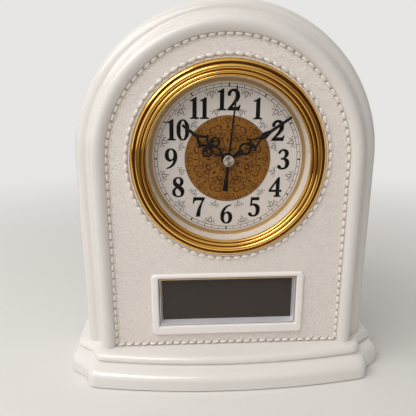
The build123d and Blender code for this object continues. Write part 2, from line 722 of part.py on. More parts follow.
def arbors():
    """Places of the movement's arbors in the front view."""
    places = {"centre": (0.0, DIAL_Z)}
    places["fifth"] = beside(places["centre"], FIFTH_DISTANCE, FIFTH_DIRECTION)
    places["rotor"] = beside(places["fifth"], ROTOR_DISTANCE, ROTOR_DIRECTION)
    places["third"] = beside(places["centre"], THIRD_DISTANCE, THIRD_DIRECTION)
    places["reverse"] = beside(places["centre"], REVERSE_DISTANCE, REVERSE_DIRECTION)
    places["knob"] = beside(places["reverse"], REVERSE_DISTANCE, KNOB_DIRECTION)
    return places


ARBOR = arbors()
ROTOR_MODULE = 2 * ROTOR_DISTANCE / (ROTOR_TEETH + FIFTH_TEETH)
FIFTH_MODULE = 2 * FIFTH_DISTANCE / (FIFTH_PINION_TEETH + SECOND_TEETH)
SECOND_MODULE = 2 * THIRD_DISTANCE / (SECOND_PINION_TEETH + THIRD_TEETH)
THIRD_MODULE = 2 * THIRD_DISTANCE / (THIRD_PINION_TEETH + CENTRE_TEETH)
MINUTE_MODULE = 2 * REVERSE_DISTANCE / (MINUTE_PINION_TEETH + REVERSE_TEETH)
REVERSE_MODULE = 2 * REVERSE_DISTANCE / (REVERSE_PINION_TEETH + HOUR_TEETH)


def pinion(place, teeth, module, turn, layer):
    """A pinion that stands a little proud of the wheel that it drives, front and back."""
    thick = WHEEL_THICK + PINION_OVERHANG * 2
    return gear(place, teeth, module, turn, deep(layer - PINION_OVERHANG), thick)


def rotor():
    """The stepping motor's magnet with its pinion."""
    x, z = ARBOR["rotor"]
    magnet = rod(x, z, MAGNET_RADIUS, deep(STATOR_LAYER - 0.5), deep(STATOR_LAYER + 1.3))
    shaft = rod(x, z, PIVOT_RADIUS, deep(FIFTH_LAYER - 1.4), deep(STATOR_LAYER + 2.4))
    direction = ROTOR_DIRECTION + 180
    return magnet + shaft + pinion(ARBOR["rotor"], ROTOR_TEETH, ROTOR_MODULE, direction, FIFTH_LAYER)


def fifth_wheel():
    """The intermediate wheel between the rotor and the second wheel."""
    x, z = ARBOR["fifth"]
    turn = meshing_turn(ROTOR_DIRECTION + 180, ROTOR_TEETH, ROTOR_DIRECTION + 180, FIFTH_TEETH)
    wheel = gear(ARBOR["fifth"], FIFTH_TEETH, ROTOR_MODULE, turn, deep(FIFTH_LAYER), WHEEL_THICK)
    shaft = rod(x, z, PIVOT_RADIUS, deep(FRONT_BOSS_END - 1.2), deep(FIFTH_LAYER + 2.1))
    collar = rod(x, z, 1.0, deep(SECOND_LAYER), deep(FIFTH_LAYER))
    direction = FIFTH_DIRECTION + 180
    small = pinion(ARBOR["fifth"], FIFTH_PINION_TEETH, FIFTH_MODULE, direction, SECOND_LAYER)
    return wheel + shaft + collar + small


def second_wheel():
    """The wheel that turns once a minute, with the long shaft of the second hand."""
    turn = meshing_turn(FIFTH_DIRECTION + 180, FIFTH_PINION_TEETH, FIFTH_DIRECTION + 180, SECOND_TEETH)
    wheel = gear(ARBOR["centre"], SECOND_TEETH, FIFTH_MODULE, turn, deep(SECOND_LAYER), WHEEL_THICK)
    shaft_end = deep(SECOND_LAYER + WHEEL_THICK + 0.3)
    shaft = rod(0, DIAL_Z, SECOND_SHAFT_RADIUS, at(SECOND_HAND_DEPTH), shaft_end)
    pivot = rod(0, DIAL_Z, PIVOT_RADIUS, deep(SECOND_LAYER), deep(SECOND_LAYER + 3.0))
    small = pinion(ARBOR["centre"], SECOND_PINION_TEETH, SECOND_MODULE, THIRD_DIRECTION, THIRD_LAYER)
    return wheel + shaft + pivot + small


def third_wheel():
    """The wheel between the second wheel and the centre wheel."""
    x, z = ARBOR["third"]
    turn = meshing_turn(THIRD_DIRECTION, SECOND_PINION_TEETH, THIRD_DIRECTION, THIRD_TEETH)
    wheel = gear(ARBOR["third"], THIRD_TEETH, SECOND_MODULE, turn, deep(THIRD_LAYER), WHEEL_THICK)
    shaft = rod(x, z, PIVOT_RADIUS, deep(FRONT_BOSS_END - 1.2), deep(SECOND_LAYER + 2.4))
    collar = rod(x, z, 0.9, deep(CENTRE_LAYER), deep(THIRD_LAYER))
    direction = THIRD_DIRECTION + 180
    small = pinion(ARBOR["third"], THIRD_PINION_TEETH, THIRD_MODULE, direction, CENTRE_LAYER)
    return wheel + shaft + collar + small


def centre_wheel():
    """The wheel that turns once an hour, with the tube of the minute hand."""
    turn = meshing_turn(THIRD_DIRECTION + 180, THIRD_PINION_TEETH, THIRD_DIRECTION + 180, CENTRE_TEETH)
    wheel = gear(ARBOR["centre"], CENTRE_TEETH, THIRD_MODULE, turn, deep(CENTRE_LAYER), WHEEL_THICK)
    tube_end = deep(CENTRE_LAYER + WHEEL_THICK + 0.2)
    wheel += rod(0, DIAL_Z, MINUTE_TUBE_RADIUS, at(MINUTE_HAND_DEPTH), tube_end)
    wheel += pinion(ARBOR["centre"], MINUTE_PINION_TEETH, MINUTE_MODULE, REVERSE_DIRECTION, REVERSE_LAYER)
    return wheel - rod(0, DIAL_Z, MINUTE_TUBE_BORE, at(0), deep(MOVEMENT_THICK))


def reverse_turn():
    """Turn of the reverse wheel, in mesh with the minute pinion."""
    return meshing_turn(REVERSE_DIRECTION, MINUTE_PINION_TEETH, REVERSE_DIRECTION, REVERSE_TEETH)


def reverse_wheel():
    """The wheel and pinion that gear the hour hand down from the minute hand."""
    x, z = ARBOR["reverse"]
    y_wheel = deep(REVERSE_LAYER)
    y_pinion = deep(HOUR_LAYER - PINION_OVERHANG)
    direction = REVERSE_DIRECTION + 180
    wheel = gear(ARBOR["reverse"], REVERSE_TEETH, MINUTE_MODULE, reverse_turn(), y_wheel, WHEEL_THICK)
    length = y_wheel + WHEEL_THICK / 4 - y_pinion
    wheel += gear(ARBOR["reverse"], REVERSE_PINION_TEETH, REVERSE_MODULE, direction, y_pinion, length)
    return wheel - rod(x, z, PIVOT_RADIUS * 1.5 + PIVOT_GAP, deep(0), deep(CENTRE_LAYER))


def hour_wheel():
    """The wheel that turns twice a day, with the tube of the hour hand."""
    direction = REVERSE_DIRECTION + 180
    turn = meshing_turn(direction, REVERSE_PINION_TEETH, direction, HOUR_TEETH)
    wheel = gear(ARBOR["centre"], HOUR_TEETH, REVERSE_MODULE, turn, deep(HOUR_LAYER), WHEEL_THICK + 0.2)
    wheel += rod(0, DIAL_Z, HOUR_TUBE_RADIUS, at(HOUR_HAND_DEPTH), deep(HOUR_LAYER + WHEEL_THICK))
    return wheel - rod(0, DIAL_Z, HOUR_TUBE_BORE, at(0), deep(MOVEMENT_THICK))


def setting_knob():
    """The knob at the back of the movement, whose pinion turns the reverse wheel."""
    x, z = ARBOR["knob"]
    turn = meshing_turn(reverse_turn(), REVERSE_TEETH, KNOB_DIRECTION, KNOB_PINION_TEETH)
    knob = pinion(ARBOR["knob"], KNOB_PINION_TEETH, MINUTE_MODULE, turn, REVERSE_LAYER)
    knob += rod(x, z, 1.5, deep(REVERSE_LAYER + WHEEL_THICK), deep(MOVEMENT_THICK + 0.4))
    knob += rod(x, z, PIVOT_RADIUS * 1.5, deep(MOVEMENT_WALL + 0.5), deep(REVERSE_LAYER))
    grip_points = []
    for flute in range(36):
        grip_points.append(polar(5.2 if flute % 2 else 4.9, flute * 10))
    return knob + upright(loop(grip_points), deep(MOVEMENT_THICK + 0.3), deep(MOVEMENT_THICK + 2.8), x, z)


def bearing(place, radius, y_open, y_root):
    """A boss with a blind bore for one pivot, open at y_open and standing on y_root."""
    x, z = place
    toward = 1 if y_root > y_open else -1
    bore_end = y_open + toward * 2.0
    boss = rod(x, z, BEARING_RADIUS, min(y_open, y_root), max(y_open, y_root))
    return boss - rod(x, z, radius + PIVOT_GAP, min(y_open, bore_end), max(y_open, bore_end))


def movement_front():
    """The front half of the movement's case, with the threaded bush and the front bearings."""
    half = MOVEMENT_SIZE / 2
    inner = half - MOVEMENT_WALL
    hollow = Rectangle(inner * 2, inner * 2)
    shell = upright(Rectangle(half * 2, half * 2), deep(0), deep(BACK_WALL), 0, DIAL_Z)
    shell -= upright(hollow, deep(MOVEMENT_WALL), deep(MOVEMENT_THICK), 0, DIAL_Z)
    wall_high = DIAL_Z - CELL_AA_DROP + CELL_AA_RADIUS + 1.1
    shell += block(-inner, inner, deep(MOVEMENT_WALL), deep(BACK_WALL), wall_high - 0.8, wall_high)
    shell += rod(0, DIAL_Z, BUSH_RADIUS, at(HOUR_HAND_DEPTH + HAND_THICK + 1.2), deep(0))
    shell += bearing(ARBOR["third"], PIVOT_RADIUS, deep(FRONT_BOSS_END), deep(MOVEMENT_WALL))
    shell += bearing(ARBOR["fifth"], PIVOT_RADIUS, deep(FRONT_BOSS_END), deep(MOVEMENT_WALL))
    shell += bearing(ARBOR["rotor"], PIVOT_RADIUS, deep(FIFTH_LAYER - 0.5), deep(MOVEMENT_WALL))
    x, z = ARBOR["reverse"]
    shell += rod(x, z, PIVOT_RADIUS * 1.5, deep(MOVEMENT_WALL), deep(CENTRE_LAYER - 0.35))
    x, z = ARBOR["knob"]
    shell += tube(
        x, z, 1.3, PIVOT_RADIUS * 1.5 + PIVOT_GAP, deep(MOVEMENT_WALL), deep(REVERSE_LAYER - 0.5)
    )
    return shell - rod(0, DIAL_Z, BUSH_BORE, at(0), deep(MOVEMENT_WALL + 0.1))


def movement_back():
    """The back half of the movement's case, open over the cell, with the back bearings."""
    half = MOVEMENT_SIZE / 2
    inner = half - MOVEMENT_WALL
    plate = upright(Rectangle(half * 2, half * 2), deep(BACK_WALL), deep(MOVEMENT_THICK), 0, DIAL_Z)
    bay_high = DIAL_Z - CELL_AA_DROP + CELL_AA_RADIUS + 0.2
    plate -= block(-inner, inner, deep(0), deep(MOVEMENT_THICK + 1), DIAL_Z - inner, bay_high)
    plate += bearing(ARBOR["centre"], PIVOT_RADIUS, deep(SECOND_LAYER + 1.5), deep(BACK_WALL))
    plate += bearing(ARBOR["third"], PIVOT_RADIUS, deep(SECOND_LAYER + 1.3), deep(BACK_WALL))
    plate += bearing(ARBOR["fifth"], PIVOT_RADIUS, deep(FIFTH_LAYER + 1.2), deep(BACK_WALL))
    plate += bearing(ARBOR["rotor"], PIVOT_RADIUS, deep(STATOR_LAYER + 1.7), deep(BACK_WALL))
    x, z = ARBOR["knob"]
    return plate - rod(x, z, 1.58, deep(BACK_WALL - 1), deep(MOVEMENT_THICK + 1))


def stator():
    """The soft-iron plate round the rotor, with the core that passes through the coil."""
    x, z = ARBOR["rotor"]
    low = z - MAGNET_RADIUS - STATOR_CORE
    high = COIL_Z + STATOR_CORE
    front = deep(STATOR_LAYER)
    back = front + WHEEL_THICK
    half = COIL_LENGTH / 2 + STATOR_ARM
    window = COIL_LENGTH / 2 + RUN_GAP
    window_low = COIL_Z - COIL_RADIUS - RUN_GAP
    plate = block(x - half, x + half, front, back, low, high)
    plate -= block(x - window, x + window, front - 1, back + 1, window_low, COIL_Z - STATOR_CORE)
    return plate - rod(x, z, MAGNET_RADIUS + STATOR_GAP, front - 1, back + 1)


def coil():
    """The winding on its bobbin, round the core of the stator."""
    x = ARBOR["rotor"][0]
    y = deep(STATOR_LAYER + WHEEL_THICK / 2)
    end = Plane(origin=(x - COIL_LENGTH / 2, y, COIL_Z), x_dir=(0, 1, 0), z_dir=(1, 0, 0))
    winding = extrude(end * Circle(COIL_RADIUS - 0.2), amount=COIL_LENGTH)
    cheek = extrude(end * Circle(COIL_RADIUS), amount=0.8)
    bobbin = winding + cheek + Pos(COIL_LENGTH - 0.8, 0, 0) * cheek
    slot = STATOR_CORE + 0.1
    return bobbin - block(x - COIL_LENGTH, x + COIL_LENGTH, y - 0.5, y + 0.5, COIL_Z - slot, COIL_Z + slot)


def circuit_board():
    """The movement's circuit board with its sealed chip and quartz can."""
    half = MOVEMENT_SIZE / 2 - MOVEMENT_WALL
    x_low = -half + 0.3
    front = deep(BOARD_LAYER)
    board = block(x_low, x_low + 11.0, front, front + 1.0, DIAL_Z - 10.5, DIAL_Z + 20.0)
    chip = Pos(x_low + 5.5, front + 0.2, DIAL_Z + 3.0) * Cylinder(3.0, 1.4, rotation=(90, 0, 0))
    can = Pos(x_low + 5.5, front - 1.0, DIAL_Z + 12.0) * Cylinder(1.05, 6.0)
    return board + chip + can


def cell(x_low, y, z, radius, length):
    """A dry cell along X with its positive nub to the right."""
    end = Plane(origin=(x_low, y, z), x_dir=(0, 1, 0), z_dir=(1, 0, 0))
    nub = extrude(end * Circle(radius * 0.38), amount=length + NUB_LENGTH)
    return extrude(end * Circle(radius), amount=length) + nub


def aa_cell():
    """The cell that drives the movement."""
    y = deep(CELL_AA_DEPTH)
    return cell(CELL_AA_LEFT, y, DIAL_Z - CELL_AA_DROP, CELL_AA_RADIUS, CELL_AA_LENGTH)


def movement_contacts():
    """The two battery contacts of the movement."""
    inner = MOVEMENT_SIZE / 2 - MOVEMENT_WALL
    y = deep(CELL_AA_DEPTH)
    z = DIAL_Z - CELL_AA_DROP
    left = block(-inner, -inner + 0.4, y - 5, y + 5, z - 5, z + 5)
    left += spring_cone(-inner + 0.4, CELL_AA_LEFT, y, z)
    nub_end = CELL_AA_LEFT + CELL_AA_LENGTH + NUB_LENGTH
    right = block(nub_end, inner, y - 5, y + 5, z - 5, z + 5)
    return Compound(children=[left, right])


def spring_cone(x_low, x_high, y, z):
    """The negative contact's cone, kept simple as a closed stub."""
    end = Plane(origin=(x_low, y, z), x_dir=(0, 1, 0), z_dir=(1, 0, 0))
    tip = Plane(origin=(x_high, y, z), x_dir=(0, 1, 0), z_dir=(1, 0, 0))
    return loft([end * Circle(3.6), tip * Circle(2.0)])


def movement_pad():
    """The rubber pad between the movement and the dial carrier."""
    back = deep(0)
    pad = RectangleRounded(26, 26, 5) - Circle(BUSH_RADIUS + SEAT_GAP)
    return upright(pad, back - PAD_THICK, back, 0, DIAL_Z)


def shaft_washer():
    """The brass washer under the nut."""
    front = at(DIAL_DEPTH - MEDALLION_THICK) - WASHER_THICK
    return tube(0, DIAL_Z, NUT_RADIUS, BUSH_RADIUS + 0.1, front, front + WASHER_THICK)


def shaft_nut():
    """The nut that clamps the dial and its carrier to the movement."""
    back = at(DIAL_DEPTH - MEDALLION_THICK) - WASHER_THICK
    hexagon = RegularPolygon(NUT_RADIUS, 6) - Circle(BUSH_RADIUS)
    return upright(hexagon, back - NUT_THICK, back, 0, DIAL_Z)


def strip(stations):
    """A flat outline that is symmetric about its length: pairs of distance and half width."""
    right = [(half, distance) for distance, half in stations]
    left = [(-half, distance) for distance, half in reversed(stations)]
    return loop(right + left)


def kite(base, corner, width, top, neck):
    """A four-cornered ornament with bowed sides, from its base to a narrow top."""
    low = (base + corner) / 2 + 0.6
    high = (corner + top) / 2
    waist = width * 0.42 + neck * 0.4
    edges = [
        ThreePointArc((0, base), (width * 0.55, low), (width, corner)),
        ThreePointArc((width, corner), (waist, high), (neck, top)),
        Line((neck, top), (-neck, top)),
        ThreePointArc((-neck, top), (-waist, high), (-width, corner)),
        ThreePointArc((-width, corner), (-width * 0.55, low), (0, base)),
    ]
    return make_face(edges)


def minute_hand():
    """The pierced minute hand."""
    shape = Circle(3.3) + strip([(2.0, 1.3), (6.0, 1.2), (10.0, 2.2), (12.4, 1.4)])
    scroll = Pos(0, 14.3) * ring(4.6, 2.9) - loop([(0, 15.2), (2.2, 20.4), (-2.2, 20.4)])
    shape += scroll
    for side in (-1, 1):
        shape += Pos(side * 1.7, 18.2) * Circle(1.25)
    shape += kite(18.2, 19.7, 4.9, 28.4, 1.2) - kite(20.4, 21.2, 2.7, 26.4, 0.3)
    for side in (-1, 1):
        shape += Pos(side * 4.7, 19.6) * Circle(0.85)
    blade = [(27.0, 1.2), (31.1, 2.4), (36.0, 1.15), (MINUTE_LENGTH - 0.4, 0.95), (MINUTE_LENGTH, 0.55)]
    shape += strip(blade)
    shape -= Circle(MINUTE_TUBE_RADIUS)
    turned_shape = Rot(0, 0, -MINUTE_ANGLE) * shape
    return upright(turned_shape, at(MINUTE_HAND_DEPTH), at(MINUTE_HAND_DEPTH + HAND_THICK), 0, DIAL_Z)


def hour_hand():
    """The pierced hour hand with its two scrolls."""
    shape = Circle(4.4) + strip([(3.0, 1.3), (8.0, 1.0)])
    shape += Pos(0, 10.4) * (Ellipse(2.9, 4.7) - Ellipse(1.7, 3.4))
    for side in (-1, 1):
        shape += Pos(side * 4.4, 15.3) * ring(3.75, 2.45)
        shape += Pos(side * 4.0, 16.7) * Circle(1.4)
    shape += strip([(14.4, 0.9), (18.0, 0.9)])
    shape += kite(16.0, 22.2, 5.4, 28.4, 1.2) - kite(18.5, 22.1, 2.9, 26.4, 0.35)
    for side in (-1, 1):
        shape += Pos(side * 5.1, 22.2) * Circle(0.9)
    shape += strip([(27.6, 1.2), (HOUR_LENGTH - 1.0, 0.95)]) + Pos(0, HOUR_LENGTH - 1.0) * Circle(1.0)
    shape -= Circle(HOUR_TUBE_RADIUS)
    turned_shape = Rot(0, 0, -HOUR_ANGLE) * shape
    return upright(turned_shape, at(HOUR_HAND_DEPTH), at(HOUR_HAND_DEPTH + HAND_THICK), 0, DIAL_Z)


def second_hand():
    """The thin second hand with its flared tail and round cap."""
    tail = [(-TAIL_LENGTH, TAIL_WIDTH / 2), (-3.0, 0.8), (0.0, 1.0)]
    blade = strip(tail + [(3.0, 0.75), (SECOND_LENGTH, 0.5)])
    turned_blade = Rot(0, 0, -SECOND_ANGLE) * blade
    back = at(SECOND_HAND_DEPTH)
    return upright(turned_blade, back - HAND_THICK, back, 0, DIAL_Z)


def second_cap():
    """The round metal cap on the second hand."""
    back = at(SECOND_HAND_DEPTH - HAND_THICK)
    cap = rod(0, DIAL_Z, CAP_RADIUS, back - CAP_THICK, back)
    front_edge = cap.edges().filter_by_position(Axis.Y, back - CAP_THICK - 0.1, back - CAP_THICK + 0.1)
    return fillet(front_edge, 0.3)


def lcd_frame():
    """The raised half-round frame of the display."""
    half = LCD_FRAME_HALF_WIDTH
    height = LCD_FRAME_HIGH_Z - LCD_FRAME_LOW_Z
    middle = (LCD_FRAME_HIGH_Z + LCD_FRAME_LOW_Z) / 2
    outer = RectangleRounded(half * 2, height, LCD_FRAME_CORNER)
    inner_height = height - LCD_FRAME_TOP_WIDTH - LCD_FRAME_FOOT_WIDTH
    inner = RectangleRounded((half - LCD_FRAME_WIDTH) * 2, inner_height, 0.6)
    lift = (LCD_FRAME_FOOT_WIDTH - LCD_FRAME_TOP_WIDTH) / 2
    frame = upright(outer - Pos(0, lift) * inner, at(-LCD_FRAME_PROUD), at(0), 0, middle)
    front = at(-LCD_FRAME_PROUD)
    return fillet(frame.edges().filter_by_position(Axis.Y, front - 0.1, front + 0.1), LCD_FRAME_ROUND)


def lcd_surround():
    """The silver inner frame, which slopes back to the window."""
    front = at(-LCD_SURROUND_PROUD)
    back = at(LCD_DEPTH)
    low = LCD_OPENING_LOW_Z + LCD_SILL_LIP
    high = LCD_OPENING_HIGH_Z - LCD_TOP_LIP
    near = Plane(origin=(0, front, (low + high) / 2), x_dir=(1, 0, 0), z_dir=(0, -1, 0))
    far = Plane(origin=(0, back, (LCD_LOW_Z + LCD_HIGH_Z) / 2), x_dir=(1, 0, 0), z_dir=(0, -1, 0))
    wide = near * Rectangle((LCD_HALF_WIDTH + LCD_SIDE_SLOPE) * 2, high - low)
    narrow = far * Rectangle(LCD_HALF_WIDTH * 2, LCD_HIGH_Z - LCD_LOW_Z)
    return lcd_opening(0, front, back) - loft([wide, narrow])


def lcd_window():
    """The dark clear pane of the display."""
    half = LCD_HALF_WIDTH + LCD_OVERLAP
    back = at(LCD_DEPTH + LCD_WINDOW_THICK)
    return block(-half, half, at(LCD_DEPTH), back, LCD_LOW_Z - LCD_OVERLAP, LCD_HIGH_Z + LCD_OVERLAP)


def lcd_cell():
    """The glass display cell behind the window."""
    front = at(HOLDER_FRONT)
    back = front + LCD_CELL_THICK
    half = LCD_HALF_WIDTH + LCD_OVERLAP
    return block(-half, half, front, back, LCD_LOW_Z - LCD_OVERLAP, LCD_HIGH_Z + LCD_OVERLAP)


def lcd_holder():
    """The plastic holder that clamps the cell to the front wall and carries the board."""
    low = LCD_FRAME_LOW_Z
    high = LCD_FRAME_HIGH_Z
    holder = block(-HOLDER_HALF, HOLDER_HALF, at(HOLDER_FRONT), at(HOLDER_BACK), low, high)
    half = LCD_HALF_WIDTH + LCD_OVERLAP + SEAT_GAP
    cell_low = LCD_LOW_Z - LCD_OVERLAP - SEAT_GAP
    cell_high = LCD_HIGH_Z + LCD_OVERLAP + SEAT_GAP
    cell_back = at(HOLDER_FRONT + LCD_CELL_THICK)
    holder -= block(-half, half, at(HOLDER_FRONT - 1), cell_back, cell_low, cell_high)
    holder -= block(-half + 2, half - 2, at(HOLDER_FRONT), at(HOLDER_BACK + 1), cell_low, cell_high)
    for x, z in holder_screws():
        holder -= rod(x, z, SMALL_HOLE_RADIUS, at(HOLDER_FRONT - 1), at(HOLDER_BACK + 1))
    return holder


def holder_screws():
    """Places of the screws that hold the display's board and holder to the front wall."""
    x = LCD_FRAME_HALF_WIDTH + 1.2
    middle = (LCD_FRAME_HIGH_Z + LCD_FRAME_LOW_Z) / 2
    reach = (LCD_FRAME_HIGH_Z - LCD_FRAME_LOW_Z) / 2 - 3.0
    return [(x * side, middle + reach * rise) for side in (-1, 1) for rise in (-1, 1)]


def lcd_strips():
    """The two rubber connector strips between cell and board."""
    front = at(HOLDER_FRONT + LCD_CELL_THICK)
    strips = []
    for z in (LCD_LOW_Z - LCD_OVERLAP + 0.4, LCD_HIGH_Z + LCD_OVERLAP - 0.4 - LCD_STRIP_WIDTH):
        half = LCD_HALF_WIDTH + LCD_OVERLAP - LCD_STRIP_INSET
        strips.append(block(-half, half, front, at(HOLDER_BACK), z, z + LCD_STRIP_WIDTH))
    return Compound(children=strips)


def lcd_board():
    """The display's circuit board with its sealed chip."""
    front = at(HOLDER_BACK)
    back = front + LCD_BOARD_THICK
    board = block(-HOLDER_HALF, HOLDER_HALF, front, back, LCD_FRAME_LOW_Z, LCD_FRAME_HIGH_Z)
    middle = (LCD_FRAME_LOW_Z + LCD_FRAME_HIGH_Z) / 2
    board += Pos(0, back, middle) * Cylinder(7.0, 2.4, rotation=(90, 0, 0))
    for x, z in holder_screws():
        board -= rod(x, z, SMALL_HOLE_RADIUS, front - 1, back + 1)
    return board


def lcd_screws():
    """The screws of the display's board."""
    y = at(HOLDER_BACK) + LCD_BOARD_THICK
    length = y - at(PANEL_THICK + 0.6)
    sizes = (SMALL_SCREW_RADIUS, SMALL_HEAD_RADIUS, SMALL_HEAD_THICK)
    return Compound(children=[screw(x, z, *sizes, y, length, -1) for x, z in holder_screws()])


def button_places():
    """Places of the buttons along the back."""
    first = -BUTTON_PITCH * (BUTTON_COUNT - 1) / 2
    return [first + BUTTON_PITCH * i for i in range(BUTTON_COUNT)]


def well_outline(half):
    """Square outline of the access well, with rounded corners."""
    return RectangleRounded(half * 2, half * 2, WELL_CORNER)


def rear_cover():
    """The flat back with the access well, the button holes and the battery bay."""
    half = CASE_INNER - SEAT_GAP
    low = CASE_BOTTOM + WALL + SEAT_GAP
    cover = upright(arch(half, low), COVER_Y, CASE_BACK_Y)
    well_front = deep(MOVEMENT_THICK) + 0.5
    cover += upright(well_outline(WELL_HALF_WIDTH + WELL_WALL), well_front, COVER_Y + 1, 0, DIAL_Z)
    cover -= upright(well_outline(WELL_HALF_WIDTH), well_front - 1, CASE_BACK_Y + 1, 0, DIAL_Z)
    hole = MOVEMENT_SIZE + WELL_RIM_GAP * 2
    rim = well_outline(WELL_HALF_WIDTH + WELL_WALL) - Rectangle(hole, hole)
    cover += upright(rim, well_front, well_front + WELL_WALL, 0, DIAL_Z)
    bay_front = COVER_Y - BAY_DEPTH - BAY_WALL
    outer = BAY_HALF_WIDTH + BAY_WALL
    cover += block(-outer, outer, bay_front, COVER_Y + 1, BAY_LOW_Z - BAY_WALL, BAY_HIGH_Z + BAY_WALL)
    bay = BAY_HALF_WIDTH
    outside = CASE_BACK_Y + 1
    cover -= block(-bay, bay, COVER_Y - BAY_DEPTH, outside, BAY_LOW_Z, BAY_HIGH_Z)
    seat = DOOR_HALF_WIDTH + RUN_GAP
    seat_low = BAY_LOW_Z - DOOR_LIP - RUN_GAP
    seat_high = BAY_HIGH_Z + DOOR_LIP + RUN_GAP
    cover -= block(-seat, seat, CASE_BACK_Y - DOOR_THICK - RUN_GAP, outside, seat_low, seat_high)
    pin_y, pin_z = door_axis()
    pin_reach = DOOR_HALF_WIDTH + DOOR_PIN_LENGTH + RUN_GAP
    end = Plane(origin=(-pin_reach, pin_y, pin_z), x_dir=(0, 1, 0), z_dir=(1, 0, 0))
    cover -= extrude(end * Circle(DOOR_PIN_RADIUS + PIVOT_GAP), amount=pin_reach * 2)
    for x in button_places():
        cover -= rod(x, BUTTON_Z, BUTTON_RADIUS + RUN_GAP, COVER_Y - 1, CASE_BACK_Y + 1)
    for x, z in button_board_screws():
        cover += rod(x, z, 2.6, COVER_Y - BUTTON_BOARD_DROP, COVER_Y + 1)
        cover -= rod(x, z, SMALL_PILOT_RADIUS, COVER_Y - BUTTON_BOARD_DROP - 1, COVER_Y)
    for x, z in cover_screw_places():
        cover -= rod(x, z, HOLE_RADIUS, COVER_Y - 1, CASE_BACK_Y + 1)
    return cover


def cover_screws():
    """The screws that hold the rear cover."""
    sizes = (SCREW_RADIUS, SCREW_HEAD_RADIUS, SCREW_HEAD_THICK)
    length = COVER_THICK + COVER_SCREW_LENGTH
    screws = [screw(x, z, *sizes, CASE_BACK_Y, length, -1) for x, z in cover_screw_places()]
    return Compound(children=screws)


def door_axis():
    """Place of the battery door's hinge line, as y and z."""
    return CASE_BACK_Y - DOOR_THICK / 2, BAY_HIGH_Z + DOOR_LIP - DOOR_THICK / 2


def battery_door():
    """The door of the display's battery bay, on two pins at its top."""
    pin_y, pin_z = door_axis()
    low = BAY_LOW_Z - DOOR_LIP
    door = block(-DOOR_HALF_WIDTH, DOOR_HALF_WIDTH, CASE_BACK_Y - DOOR_THICK, CASE_BACK_Y, low, pin_z)
    edge = Plane(origin=(-DOOR_HALF_WIDTH, pin_y, pin_z), x_dir=(0, 1, 0), z_dir=(1, 0, 0))
    door += extrude(edge * Circle(DOOR_THICK / 2), amount=DOOR_HALF_WIDTH * 2)
    reach = DOOR_HALF_WIDTH + DOOR_PIN_LENGTH
    end = Plane(origin=(-reach, pin_y, pin_z), x_dir=(0, 1, 0), z_dir=(1, 0, 0))
    door += extrude(end * Circle(DOOR_PIN_RADIUS), amount=reach * 2)
    for line in range(4):
        groove_z = low + 3.0 + line * 1.6
        door -= block(-9, 9, CASE_BACK_Y - 0.5, CASE_BACK_Y + 1, groove_z, groove_z + 0.8)
    return door


def aaa_cells():
    """The two cells of the display, one above the other."""
    y = COVER_Y - BAY_DEPTH + CELL_AAA_RADIUS + 0.4
    cells = []
    for row in (0, 1):
        z = BAY_LOW_Z + BAY_HEIGHT * (0.26 + 0.48 * row)
        cells.append(cell(-CELL_AAA_LENGTH / 2, y, z, CELL_AAA_RADIUS, CELL_AAA_LENGTH))
    return Compound(children=cells)


def aaa_contacts():
    """The contacts at the ends of the two small cells."""
    y = COVER_Y - BAY_DEPTH + CELL_AAA_RADIUS + 0.4
    pieces = []
    for row in (0, 1):
        z = BAY_LOW_Z + BAY_HEIGHT * (0.26 + 0.48 * row)
        left = block(-BAY_HALF_WIDTH, -BAY_HALF_WIDTH + 0.4, y - 4, y + 4, z - 4.4, z + 4.4)
        pieces.append(left + spring_cone(-BAY_HALF_WIDTH + 0.4, -CELL_AAA_LENGTH / 2, y, z))
        nub_end = CELL_AAA_LENGTH / 2 + NUB_LENGTH
        end = Plane(origin=(nub_end, y, z), x_dir=(0, 1, 0), z_dir=(1, 0, 0))
        dimple = extrude(end * Circle(2.0), amount=BAY_HALF_WIDTH - nub_end)
        right = block(BAY_HALF_WIDTH - 0.4, BAY_HALF_WIDTH, y - 4, y + 4, z - 4.4, z + 4.4)
        pieces.append(dimple + right)
    return Compound(children=pieces)


def button(x):
    """One push button: its cap passes through the rear cover and its flange stays inside."""
    flange_back = COVER_Y - BUTTON_SEAT
    cap = rod(x, BUTTON_Z, BUTTON_RADIUS, flange_back - BUTTON_FLANGE_THICK, CASE_BACK_Y + BUTTON_PROUD)
    end = CASE_BACK_Y + BUTTON_PROUD
    cap = fillet(cap.edges().filter_by_position(Axis.Y, end - 0.1, end + 0.1), 0.5)
    return cap + rod(x, BUTTON_Z, BUTTON_FLANGE, flange_back - BUTTON_FLANGE_THICK, flange_back)


def button_board_screws():
    """Places of the two screws of the button board."""
    reach = BUTTON_PITCH * (BUTTON_COUNT - 1) / 2 + BUTTON_FLANGE + 5.0
    return [(-reach, BUTTON_Z), (reach, BUTTON_Z)]


def button_board():
    """The board behind the buttons, with one switch under each."""
    back = COVER_Y - BUTTON_BOARD_DROP
    half = button_board_screws()[1][0] + 4.0
    board = block(-half, half, back - BUTTON_BOARD_THICK, back, BUTTON_Z - 6.5, BUTTON_Z + 6.5)
    plunger_end = COVER_Y - BUTTON_SEAT - BUTTON_FLANGE_THICK - BUTTON_TRAVEL - 0.2
    for x in button_places():
        size = SWITCH_SIZE / 2
        board += block(x - size, x + size, back, back + SWITCH_HEIGHT, BUTTON_Z - size, BUTTON_Z + size)
        board += rod(x, BUTTON_Z, 1.6, back, plunger_end)
    for x, z in button_board_screws():
        board -= rod(x, z, SMALL_HOLE_RADIUS, back - BUTTON_BOARD_THICK - 1, back + 1)
    return board


